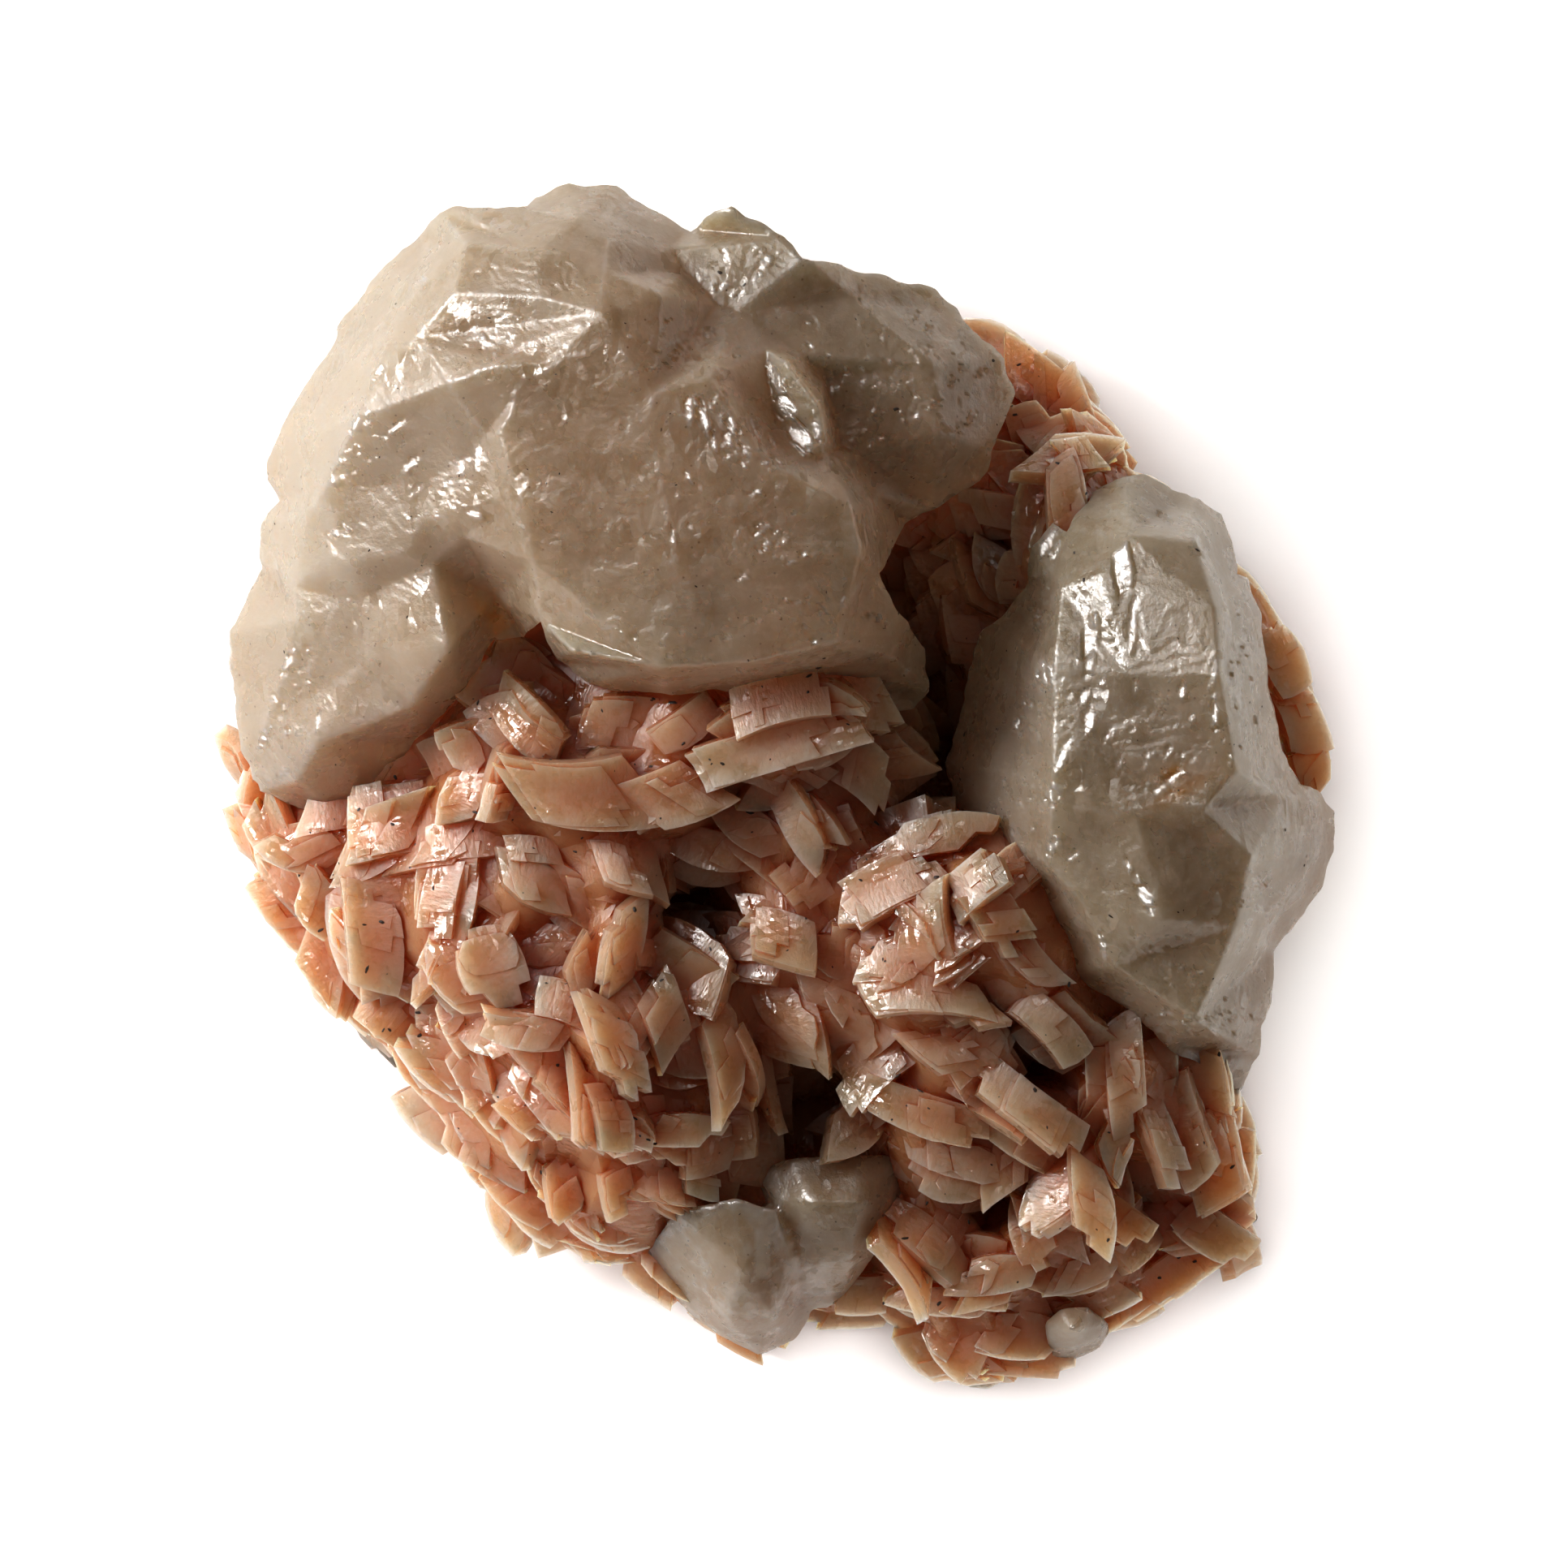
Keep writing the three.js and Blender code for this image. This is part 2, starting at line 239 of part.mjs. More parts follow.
// The smaller calcites: the corners of each flat-faced crystal, x, y, z
const LOWER_CALCITES = [
  // pale left crystal
  [[-10.5, -34.5, 9.5], [-8.5, -36.8, 8], [-7.3, -39.2, 7], [-5, -40.9, 7], [-1.8, -42.3, 6],
    [1, -41, 6], [2.1, -39.3, 7], [1, -36.6, 12], [0.8, -35, 15.5], [-0.5, -31.5, 18.5],
    [-3.5, -30.6, 18.5], [-8, -31.5, 16], [-3, -36, 17], [-4, -39, 13.5], [-1, -39, 13.5],
    [-7, -36, 2], [-3, -40, 2], [1, -39, 2], [-2, -32, 4], [-7, -33, 4]],
  // dark right crystal
  [[-2.2, -28.6, 15], [0.5, -27.6, 17], [6, -27.3, 17], [8.8, -27.3, 15], [9.9, -28.6, 13],
    [8, -31.8, 15], [7.7, -34, 13], [4.5, -38, 9], [3.2, -38.9, 7], [1.6, -38.8, 8], [1, -36, 14],
    [-0.4, -31, 17], [2, -31, 19], [5.5, -31, 19], [5, -35, 15.5], [0, -29, 3], [8, -29, 3],
    [3, -37, 2], [0, -34, 3], [6, -34, 3]],
];

const SMALL_CALCITE = [
  [[19.2, -39.8, 11], [19.3, -41, 10], [20.5, -38.8, 12], [22.5, -38.6, 12], [24, -39.8, 10],
    [24.3, -40.4, 8], [23.5, -41.8, 7], [21.5, -42.6, 6], [19.8, -42.5, 7], [21.5, -40.3, 13.5],
    [20, -39.5, 3], [23, -39.5, 3], [22.5, -41.5, 2.5], [20, -41.8, 2.5]],
];

// Solids and their joining
function solidFrom(geometry) {
  geometry.deleteAttribute('normal');
  geometry.deleteAttribute('uv');
  const merged = mergeVertices(geometry, WELD);
  const mesh = new wasm.Mesh({
    numProp: 3,
    vertProperties: new Float32Array(merged.attributes.position.array),
    triVerts: new Uint32Array(merged.index.array),
  });
  return new wasm.Manifold(mesh);
}

function largestBody(solid) {
  const bodies = solid.decompose();
  return bodies.reduce((best, body) => (body.volume() > best.volume() ? body : best));
}

function geometryFrom(solid) {
  const mesh = solid.getMesh();
  const geometry = new THREE.BufferGeometry();
  geometry.setAttribute('position', new THREE.BufferAttribute(mesh.vertProperties, 3));
  geometry.setIndex(new THREE.BufferAttribute(mesh.triVerts, 1));
  const flat = geometry.toNonIndexed();
  flat.computeVertexNormals();
  return flat;
}

// The crust: its height anywhere, from the blades on it and the listed heights
const heightMarks = [
  ...CRUST_HEIGHTS,
  ...BLADES.map(([x, y, z]) => [x, y, z - CRUST_SINK]),
];

function crustHeight(x, y) {
  let total = 0;
  let weights = 0;
  for (const [markX, markY, markZ] of heightMarks) {
    const distance = Math.hypot(x - markX, y - markY) + MARK_REACH;
    const weight = distance ** -MARK_POWER;
    total += weight * markZ;
    weights += weight;
  }
  return total / weights;
}

function crustRing(reach, heightOf) {
  return CRUST_OUTLINE.map(([x, y]) => [x * reach, y * reach, heightOf(x * reach, y * reach)]);
}

function crustGeometry() {
  const innermost = CRUST_RINGS.at(-1);
  const rimHeight = (x, y) => crustHeight(x * innermost, y * innermost) * RIM_LEVEL;
  const rings = [
    ...CRUST_RINGS.map((reach) => crustRing(reach, crustHeight)),
    crustRing(1, rimHeight),
    crustRing(WAIST.reach, (x, y) => rimHeight(x, y) * WAIST.level),
    crustRing(BASE_REACH, () => 0),
  ];
  const count = CRUST_OUTLINE.length;
  const points = [[0, 0, crustHeight(0, 0)], ...rings.flat(), [0, 0, 0]];
  const last = points.length - 1;
  const triangles = [];
  for (let i = 0; i < count; i += 1) {
    const next = (i + 1) % count;
    triangles.push(0, 1 + i, 1 + next);
    for (let ring = 0; ring < rings.length - 1; ring += 1) {
      const inner = 1 + ring * count;
      const outer = inner + count;
      triangles.push(inner + i, outer + i, outer + next, inner + i, outer + next, inner + next);
    }
    const base = last - count;
    triangles.push(last, base + next, base + i);
  }
  const geometry = new THREE.BufferGeometry();
  geometry.setAttribute('position', new THREE.Float32BufferAttribute(points.flat(), 3));
  geometry.setIndex(triangles);
  return geometry;
}

// A blade: a rhombic plate with its middle at the origin, bent like a saddle, its length along X
function bladeGeometry(length, width, thickness) {
  const geometry = new THREE.BoxGeometry(2, 2, 1, BLADE_STEPS.along, BLADE_STEPS.across, 1);
  const position = geometry.attributes.position;
  for (let i = 0; i < position.count; i += 1) {
    const along = position.getX(i);
    const across = position.getY(i);
    const narrow = 1 - BLADE_TAPER * along * along;
    const x = (along * length) / 2 + BLADE_SKEW * across * width;
    const y = (across * width * narrow) / 2;
    const rise = BLADE_CURVE.along * length * along ** 2 + BLADE_CURVE.across * width * across ** 2;
    position.setXYZ(i, x, y, position.getZ(i) * thickness + rise);
  }
  return geometry;
}

function bladeSolid([x, y, z, heading, pitch, roll, length, width, thickness]) {
  const geometry = bladeGeometry(length, width, thickness);
  const turn = [roll, -pitch, heading].map(THREE.MathUtils.degToRad);
  const matrix = new THREE.Matrix4().makeRotationFromEuler(new THREE.Euler(...turn, 'ZYX'));
  matrix.setPosition(x, y, z);
  geometry.applyMatrix4(matrix);
  return solidFrom(geometry);
}

// How far a corner moves for its two or more faces to move out by a gap
function mitred(normals, gap) {
  const outward = normals.reduce((sum, n) => sum.add(n), new THREE.Vector3()).normalize();
  const closest = Math.max(MITRE_LIMIT, Math.min(...normals.map((n) => n.dot(outward))));
  return outward.multiplyScalar(gap / closest);
}

// A small calcite: the flat-faced hull of its corners
function hullGeometry(corners) {
  return new ConvexGeometry(corners.map((corner) => new THREE.Vector3(...corner)));
}

// The same hull with every face moved out by a gap, for the seat that a calcite leaves in the crust
function grownHull(corners, gap) {
  const hull = hullGeometry(corners);
  const position = hull.attributes.position;
  const facesAt = new Map();
  for (let i = 0; i < position.count; i += 3) {
    const face = [0, 1, 2].map((k) => new THREE.Vector3().fromBufferAttribute(position, i + k));
    const normal = new THREE.Triangle(...face).getNormal(new THREE.Vector3());
    for (const corner of face) {
      const key = corner.toArray().join();
      facesAt.set(key, [...(facesAt.get(key) ?? []), normal]);
    }
  }
  const grown = [...facesAt].map(([key, normals]) => {
    const corner = new THREE.Vector3(...key.split(',').map(Number));
    return corner.add(mitred(normals, gap));
  });
  return new ConvexGeometry(grown);
}

// The corners round the edge of the facets, in order
function rimOf(facets) {
  const steps = new Set();
  for (const facet of facets) {
    const keys = facet.split(' ');
    keys.forEach((key, i) => steps.add(`${key} ${keys[(i + 1) % keys.length]}`));
  }
  const after = new Map();
  for (const step of steps) {
    const [here, there] = step.split(' ');
    if (!steps.has(`${there} ${here}`)) after.set(here, there);
  }
  const rim = [after.keys().next().value];
  while (after.get(rim.at(-1)) !== rim[0]) rim.push(after.get(rim.at(-1)));
  return rim;
}

// A flat outline cut into triangles, as indices of its points
function cutFlat(points) {
  const flat = points.map(([x, y]) => new THREE.Vector2(x, y));
  return THREE.ShapeUtils.triangulateShape(flat, []);
}

// A large calcite: its facets, sides that draw in, and an underside. A gap moves it out on every side
function facetedGeometry({ corners, facets, middle }, gap) {
  const keys = Object.keys(corners);
  const rim = rimOf(facets);
  const points = keys.map((key) => [corners[key][0], corners[key][1], corners[key][2] + gap]);
  const placeOf = (key) => points[keys.indexOf(key)];
  const edges = rim.map((key, i) => {
    const [x, y] = corners[key];
    const [nextX, nextY] = corners[rim[(i + 1) % rim.length]];
    return new THREE.Vector3(nextY - y, x - nextX, 0).normalize();
  });
  rim.forEach((key, i) => {
    const move = mitred([edges.at(i - 1), edges[i]], gap);
    placeOf(key)[0] += move.x;
    placeOf(key)[1] += move.y;
  });

  const triangles = [];
  for (const facet of facets) {
    const names = facet.split(' ');
    for (const trio of cutFlat(names.map((name) => corners[name]))) {
      triangles.push(...trio.map((i) => keys.indexOf(names[i])));
    }
  }
  const base = SIDE_BASE - gap;
  let upper = rim.map((key) => keys.indexOf(key));
  for (const { reach, level } of SIDES) {
    const lower = rim.map((_, i) => points.length + i);
    for (const key of rim) {
      const [x, y, z] = placeOf(key);
      const [middleX, middleY] = middle;
      const [lowerX, lowerY] = [middleX + (x - middleX) * reach, middleY + (y - middleY) * reach];
      points.push([lowerX, lowerY, base + (z - base) * level]);
    }
    rim.forEach((key, i) => {
      const next = (i + 1) % rim.length;
      triangles.push(upper[i], lower[i], lower[next], upper[i], lower[next], upper[next]);
    });
    upper = lower;
  }
  for (const [a, b, c] of cutFlat(upper.map((i) => points[i]))) {
    triangles.push(upper[a], upper[c], upper[b]);
  }
  const geometry = new THREE.BufferGeometry();
  geometry.setAttribute('position', new THREE.Float32BufferAttribute(points.flat(), 3));
  geometry.setIndex(triangles);
  return geometry;
}

function hullSolid(crystals) {
  return largestBody(wasm.Manifold.union(crystals.map((corners) => solidFrom(hullGeometry(corners)))));
}

function dolomiteSolid(seats) {
  const grown = wasm.Manifold.union([solidFrom(crustGeometry()), ...BLADES.map(bladeSolid)]);
  return largestBody(grown.subtract(wasm.Manifold.union(seats)));
}

// The scene
function mineral(color, roughness) {
  return new THREE.MeshStandardMaterial({ color, roughness, metalness: 0 });
}

const dolomite = mineral(0xd9a58a, 0.45);
const calcite = mineral(0xcfc8b8, 0.3);

function piece(name, solid, material) {
  const mesh = new THREE.Mesh(geometryFrom(solid), material);
  mesh.name = name;
  return mesh;
}

const seats = [
  ...[UPPER_CALCITES, RIGHT_CALCITES].map((form) => solidFrom(facetedGeometry(form, SEAT_GAP))),
  ...[...LOWER_CALCITES, ...SMALL_CALCITE].map((corners) => solidFrom(grownHull(corners, SEAT_GAP))),
];

const cluster = new THREE.Group();
cluster.add(piece('dolomite_crust', dolomiteSolid(seats), dolomite));
cluster.add(piece('upper_calcites', solidFrom(facetedGeometry(UPPER_CALCITES, 0)), calcite));
cluster.add(piece('right_calcites', solidFrom(facetedGeometry(RIGHT_CALCITES, 0)), calcite));
cluster.add(piece('lower_calcites', hullSolid(LOWER_CALCITES), calcite));
cluster.add(piece('small_calcite', hullSolid(SMALL_CALCITE), calcite));

export default cluster;
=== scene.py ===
# A dolomite cluster with calcite on a pale studio floor, seen from straight above.
# Forms are made in millimetres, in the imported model's own frame, and scaled to metres at the end.

import json
import math

import bmesh
import bpy
import numpy as np
from mathutils import Euler, Matrix, Vector
from mathutils.bvhtree import BVHTree
from mathutils.geometry import delaunay_2d_cdt, tessellate_polygon

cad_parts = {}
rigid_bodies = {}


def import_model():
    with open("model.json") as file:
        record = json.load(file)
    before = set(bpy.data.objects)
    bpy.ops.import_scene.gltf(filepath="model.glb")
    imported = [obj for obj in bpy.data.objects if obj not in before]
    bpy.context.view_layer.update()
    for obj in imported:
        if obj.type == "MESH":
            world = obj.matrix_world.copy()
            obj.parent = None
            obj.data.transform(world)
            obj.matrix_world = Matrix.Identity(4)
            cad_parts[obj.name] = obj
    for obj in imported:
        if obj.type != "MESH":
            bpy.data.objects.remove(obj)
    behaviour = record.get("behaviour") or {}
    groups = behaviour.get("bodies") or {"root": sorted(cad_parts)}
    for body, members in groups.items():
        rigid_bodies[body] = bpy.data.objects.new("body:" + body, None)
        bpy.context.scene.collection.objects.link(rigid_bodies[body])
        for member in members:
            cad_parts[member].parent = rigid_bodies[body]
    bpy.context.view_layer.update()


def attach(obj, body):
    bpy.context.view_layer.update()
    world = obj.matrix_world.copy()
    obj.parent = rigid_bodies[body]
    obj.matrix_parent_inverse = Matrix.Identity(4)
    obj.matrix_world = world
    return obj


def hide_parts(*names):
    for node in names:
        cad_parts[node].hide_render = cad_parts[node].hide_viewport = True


MM = 0.001
TINY = 1e-6
UP = Vector((0, 0, 1))
WHITE = (1, 1, 1, 1)

# The photograph: one pixel is 0.06 mm, and its centre is the middle of the part
PHOTO_SIZE = (1931, 1932)
MM_PER_PIXEL = 0.06
CAMERA_HEIGHT = 600
CAMERA_CLIP = (0.01, 10)

# Lights over the part: azimuth, elevation, size, power, and whether matt surfaces take any of it
LIGHT_DISTANCE = 800
LIGHTS = {
    "key": (157, 25, 700, 3.8, True),
    "sparkle": (157, 32, 175, 2.75, True),
    "sheen": (120, 55, 436, 2.8, False),
    "glint": (157, 40, 290, 8.5, False),
}
FILL_STRENGTH = 0.15
FILL_COLOUR = (1, 0.84, 0.70, 1)
BACKDROP_STRENGTH = 0.95
FLOOR_LIGHT = 3.9
FLOOR_LIGHT_SPREAD = 60
FLOOR_SIZE = 6000

# The picture
CONTRAST = 0.8
DIFFUSE_BOUNCES = 2
MAX_BOUNCES = 5
NOISE_THRESHOLD = 0.06
INDIRECT_CLAMP = 1.5

# The repeatable random numbers under every noise
HASH_PRIMES = (73856093, 19349663, 83492791)
HASH_SEED = 2654435
HASH_MIX = 1274126177
HASH_MOST = 0xFFFF

# The crust: rings from its middle to its rim, waist and base. Lumps, waves and swells are noises, each
# with its strength, size and seed
FIRST_RING = 1 / 26
CRUST_RINGS = 23
RIM_START = 0.9
RIM_PARTS = (0.35, 0.7)
RIM_FALL = 1.4
RIM_LEVEL = 0.5
WAIST_REACH = 0.96
WAIST_LEVEL = 0.2
BASE_REACH = 0.84
CRUST_LUMPS = [(0.5, 2.6, 5), (0.25, 1.1, 6)]
CRUST_LOWEST = 0.6
CRUST_TONE = -1
MARK_NEAREST = 0.05
MARK_FALL = -3.5

# Dolomite blades
BLADE_SEED = 11
BLADE_CURVE_ALONG = -0.075
BLADE_CURVE_ACROSS = 0.08
CURVE_SPREAD_ALONG = (0.6, 1.5)
CURVE_SPREAD_ACROSS = (0.3, 1.3)
BLADE_BEND = 0.06
BLADE_THICKNESS = 0.62
BLADE_SKEW = (-0.42, 0.45)
BLADE_TAPER = (-0.05, 0.38)
BLADE_BOW = (-0.04, 0.12)
PATTERN_SHIFT = 50
CELL = 1.1
CELL_SPREAD = (0.55, 1.45)
NOTCH_CHANCE = 0.34
PLATE_JITTER = 0.04
PLATE_THINNING = 0.12
TERRACE_EVERY = 5
TERRACE_LENGTH = (0.3, 0.6)
TERRACE_RISE = (0.08, 0.28)
TERRACE_WIDTH = (0.8, 1.02)
TERRACE_SHIFT = 0.08
TERRACE_TURN = 0.8
SMALL_COUNT = 400
SMALL_LENGTH = (4.5, 7.5)
SMALL_WIDTH = (0.6, 0.85)
SMALL_THICKNESS = (1.8, 2.6)
SMALL_LIFT = (-1.1, -0.1)
PARALLEL = 0.8
LEAN = 0.1
STEEPEST = -0.75
# The tone of the blades' upright sides, which paints them darker and more orange as painted shade
SIDE_SHADE_TONE = -0.12
SHARP_ANGLE = 26

# The large calcites, as sheets over a grid
GRID = 0.16
GRID_MARGIN = 1.6
EDGE_STEP = 0.3
EDGE_BLUR = 1
SLOPE_BLUR = 4
EDGE_WAVES = [[(0.22, 1.8, 51), (0.1, 0.7, 52)], [(0.22, 1.8, 53), (0.1, 0.7, 54)]]
SHEET_SWELLS = [(0.06, 7, 21), (0.035, 2.4, 22), (0.02, 0.8, 23)]
GROWTH_FIELD = [(1, 6, 24), (0.4, 1.7, 25)]
GROWTH_STEPS = 4
GROWTH_STEEPNESS = 8
GROWTH_STEP = 0.06
INNER_BLUR = 2
INNER_SHARE = 0.999
INSIDE_ONLY = 1
MERGE_WITHIN = 1e-5
SIDE_BASE = 3.5
SIDE_REACH = 0.9
SIDE_STEPS = 12
SIDE_NOISE_TOP = 24
SIDE_NOISE_LEAST = 0.15
SIDE_BULGES = [(0.7, 5, 41), (0.4, 1.8, 42)]

# Their lines, flakes and clouds
LINE_WIDTH = 0.2
LINE_REACH = 3
LINE_WAVE = [(0.5, 0.8, 61)]
LINE_MEAN = 0.65
FLAKE_SEED = 31
GLINT_SLOPE = (0.5, -0.23)
FLAKE_STEP = 0.9
FLAKE_EDGE = 1.05
FLAKE_CRISP = 6
FLAKE_SKEW = (0.35, 0.3)
FLAKE_FADE = (0.55, 0.45)
FLAKE_FAINTEST = 0.1
# How much whiter the flakes are painted, as painted glints
FLAKE_STRENGTH = (0.5, 0.95)
CLOUD_REACH = 1.8
ETCHED_SPREAD = 0.5
ETCHED_LENGTH = (0.3, 0.75)
ETCHED_LEAN = 25
# How much whiter the etched flakes are painted, as painted glints
ETCHED_STRENGTH = 0.7

# The smaller calcites. The right one of the lower pair is clear, and the small one is partly so; their clear
# parts are painted dark, as shade seen through them
VOXEL = 0.3
HULL_SWELLS = [(0.14, 6, 21), (0.08, 1.9, 22), (0.05, 0.9, 23)]
HULL_SINK = 0.1
MOTTLES = [(0.6, 1.5, 71), (0.6, 0.65, 72)]
MOTTLE_MOST = 0.5
CLEAR_START = -0.5
CLEAR_FADE = 1.2
CLEARNESS = 0.95
SMALL_CRYSTAL_START = 12
SMALL_CRYSTAL_CLEARNESS = 0.4
# How much whiter the bright cleavage faces are painted, as painted glints
BRIGHT_FACE_GLINT = 0.75

# Dark dust
DUST_SEED = 7
DUST_SIZE = (0.16, 0.3)
FINE_DUST_COUNT = 240
FINE_DUST_SIZE = (0.06, 0.15)
FINE_DUST_REACH = 38
DUST_DROP = 60
DUST_LOWEST = 3
DUST_SPIN = 3.14
DUST_STRETCH = (1.2, 2.6)
DUST_FLATNESS = 0.6
DUST_ROUGHNESS = 0.12

# Dolomite's material. A noise has scale, detail, roughness and distortion. A ramp has the two values that
# it runs between, and the results there
PINK = (0.78, 0.43, 0.27, 1)
PALE_PINK = (0.85, 0.55, 0.40, 1)
GRAIN_NOISE = (2.4, 5, 0.6)
GRAIN_RAMP = (0.3, 0.7)
PINK_CLOUD = (0.78, 0.41, 0.24, 1)
PINK_CLOUD_NOISE = (160, 3)
PINK_CLOUD_RAMP = (0.35, 0.7)
PALE_BLADE = (0.90, 0.68, 0.55, 1)
PALE_BLADE_RAMP = (0.5, 1, 0, 0.3)
DARK_BLADE = (0.70, 0.35, 0.19, 1)
DARK_BLADE_RAMP = (0, 0.6, 0.5, 0)
# Painted glow: a pale band along each blade's rim, standing in for light through its thin edges
PAINTED_RIM_GLOW = (0.95, 0.80, 0.70, 1)
RIM_GLOW_RAMP = (0.5, 1, 0, 0.1)
BARE_CRUST = (0.70, 0.34, 0.17, 1)
# Painted shade: the deep orange-brown laid over the blades where gaps and hollows close them in
PAINTED_GAP_SHADE = (0.46, 0.09, 0.008, 1)
GAP_SHADE_REACH = 0.006
GAP_SHADE_RAMP = (0.1, 0.75, 0.95, 0)
BLADE_LINES_STRETCH = (1.0, 0.35, 2.2)
BLADE_LINES_NOISE = (3.2, 2, 0.5)
BLADE_LINES_RELIEF = 0.7
GRAIN_RELIEF = 0.5
BLADE_BUMP = (0.5, 0.00018)
BLADE_CELLS_STRETCH = (0.9, 3, 3)
BLADE_CELLS_SCALE = 1.1
BLADE_PATCH_NOISE = (330, 3, 0.6)
BLADE_TILT_RAMP = (0.5, 0.6, 0.05, 0.6)
BLADE_ROUGH_RAMP = (0.46, 0.58, 0.5, 0.14)
DOLOMITE_SURFACE = {
    "IOR": 1.55,
    "Subsurface Weight": 1.0,
    "Subsurface Radius": (1.0, 0.72, 0.55),
    "Subsurface Scale": 0.008,
}

# Calcite's material. The low ramp reads metres up, and the painted light's ramp reads metres to the right:
# the left side, where the key light falls, is painted paler
DARK_CREAM = (0.56, 0.47, 0.335, 1)
PALE_CREAM = (0.72, 0.64, 0.50, 1)
CREAM_NOISE = (130, 4, 0.6, 0.6)
CREAM_RAMP = (0.35, 0.68)
LOW_CREAM = (0.70, 0.50, 0.36, 1)
LOW_RAMP = (0.026, 0.012, 0, 0.45)
# Painted light: the paler colour of the left side, where the key light falls
PAINTED_LEFT_LIGHT = (0.94, 0.87, 0.74, 1)
LEFT_LIGHT_RAMP = (-0.016, -0.034, 0, 0.6)
# Painted shade: the dark that clear parts show, where shade is seen through the crystal
PAINTED_CLEAR_SHADE = (0.20, 0.14, 0.09, 1)
MILK = (0.82, 0.73, 0.60, 1)
MILK_NOISE = (620, 4, 0.6)
MILK_RAMP = (0.5, 0.68, 0, 0.5)
MILK_RELIEF = 0.6
GRIT = (0.86, 0.78, 0.66, 1)
GRIT_NOISE = (1900, 4, 0.65)
GRIT_RAMP = (0.52, 0.7, 0, 0.35)
GRIT_RELIEF = 0.5
THREAD = (0.95, 0.90, 0.84, 1)
THREAD_NOISE = (240, 3, 0.5, 1.2)
THREAD_RAMP = (0.008, 0.001)
THREAD_CLOUD_RAMP = (0.5, 0.65, 0, 0.3)
# The white of milky veils, and of painted highlights and glints
MILK_AND_HIGHLIGHT_WHITE = (0.92, 0.87, 0.80, 1)
OCHRE = (0.62, 0.34, 0.07, 1)
OCHRE_RAMP = (0.3, 0.6, 0.4, 1)
DOT = (0.16, 0.10, 0.06, 1)
DOT_SCALE = 900
DOT_RAMP = (0.1, 0.06, 0, 0.5)
CALCITE_BUMP = (0.5, 0.0003)
CALCITE_PATCH_NOISE = (260, 3, 0.6)
CALCITE_CELLS_STRETCH = (1.5, 0.6, 1)
CALCITE_CELLS_SCALE = 1100
CALCITE_TILT_RAMP = (0.5, 0.62, 0.03, 0.4)
CALCITE_ROUGH_RAMP = (0.4, 0.62, 0.38, 0.17)
GLOSS_POLISH = -0.1
CALCITE_SURFACE = {
    "IOR": 1.62,
    "Transmission Weight": 0.42,
    "Subsurface Weight": 1.0,
    "Subsurface Radius": (1.0, 0.9, 0.75),
    "Subsurface Scale": 0.005,
}

# The materials of the dust and the floor
DUST_COLOURS = [(0.012, 0.008, 0.006, 1), (0.10, 0.06, 0.04, 1)]
DUST_NOISE = (3000, 2)
DUST_ROUGH_RAMP = (0.3, 0.7, 0.5, 0.8)
FLOOR_COLOURS = [(0.84, 0.84, 0.84, 1), (0.86, 0.86, 0.86, 1)]
FLOOR_NOISE = (60, 2)
FLOOR_SURFACE = {"Roughness": 0.9}

# The crust's outline seen from above, anticlockwise from the east
CRUST_OUTLINE = [
    (39.6, 1.5), (38.3, 5.5), (37, 10), (35.5, 12), (33, 15), (31, 18), (29, 20), (26, 22.5), (25, 24.6),
    (24, 26.6), (22.3, 27.6), (22, 29), (20, 30.6), (18.3, 31.6), (14, 33), (10, 34), (5, 36), (0, 38),
    (-5, 39.5), (-10, 40), (-16, 40.5), (-22, 39.5), (-27, 37), (-31, 33), (-34, 28), (-35.5, 22), (-36, 16),
    (-37.5, 11), (-37.5, 6), (-38, 2), (-39.8, 0.8), (-39.6, -0.8), (-40.1, -2.5), (-39.4, -5), (-37.5, -8),
    (-34.5, -13), (-31.8, -16.5), (-31, -18.3), (-28.4, -20), (-26.5, -22), (-26, -24), (-25, -25.5),
    (-23, -27.8), (-21, -29), (-20.7, -30.8), (-18, -32.8), (-15.5, -33.9), (-11, -35.3), (-7.2, -38.8),
    (-1.8, -41.5), (1, -40.3), (2, -38.8), (4.5, -39.2), (8, -38.5), (10.2, -40), (12.5, -43.2), (14, -43.6),
    (16.5, -43), (19.5, -43.6), (22, -42.2), (24.5, -40), (26.5, -39.2), (30, -37), (32, -34.8), (34, -33.6),
    (33.4, -31.5), (33.8, -29), (34.2, -27), (33.6, -25), (32.9, -23.3), (33, -20), (34, -16), (34.5, -12),
    (36.5, -9), (38, -5), (38.6, -2),
]

# Heights of the crust where no blade sets them: x, y, z
CRUST_HEIGHTS = [
    (-28, 28, 14), (-20, 32, 16), (-10, 30, 18), (0, 28, 16), (8, 30, 10), (-24, 20, 16), (-14, 16, 18),
    (-4, 14, 18), (-34, 10, 8), (-28, 8, 12), (-34, 2, 8),
    (24, 14, 14), (30, 8, 12), (20, 4, 12), (28, -6, 12), (34, -6, 8), (28, -14, 12),
    (-4, -35, 7), (4, -32, 8), (4, -37, 5), (21.5, -40.5, 6),
    (10, 14, 8), (10, 8, 6), (11, 2, 5), (12, -1, 8), (11, 19, 12),
    (-7, -7.5, 15), (1.5, -23, 9), (1, -26, 9), (4, -24, 10), (15.5, -31, 9), (26.5, -30, 9),
    (18.5, -20.5, 15),
]

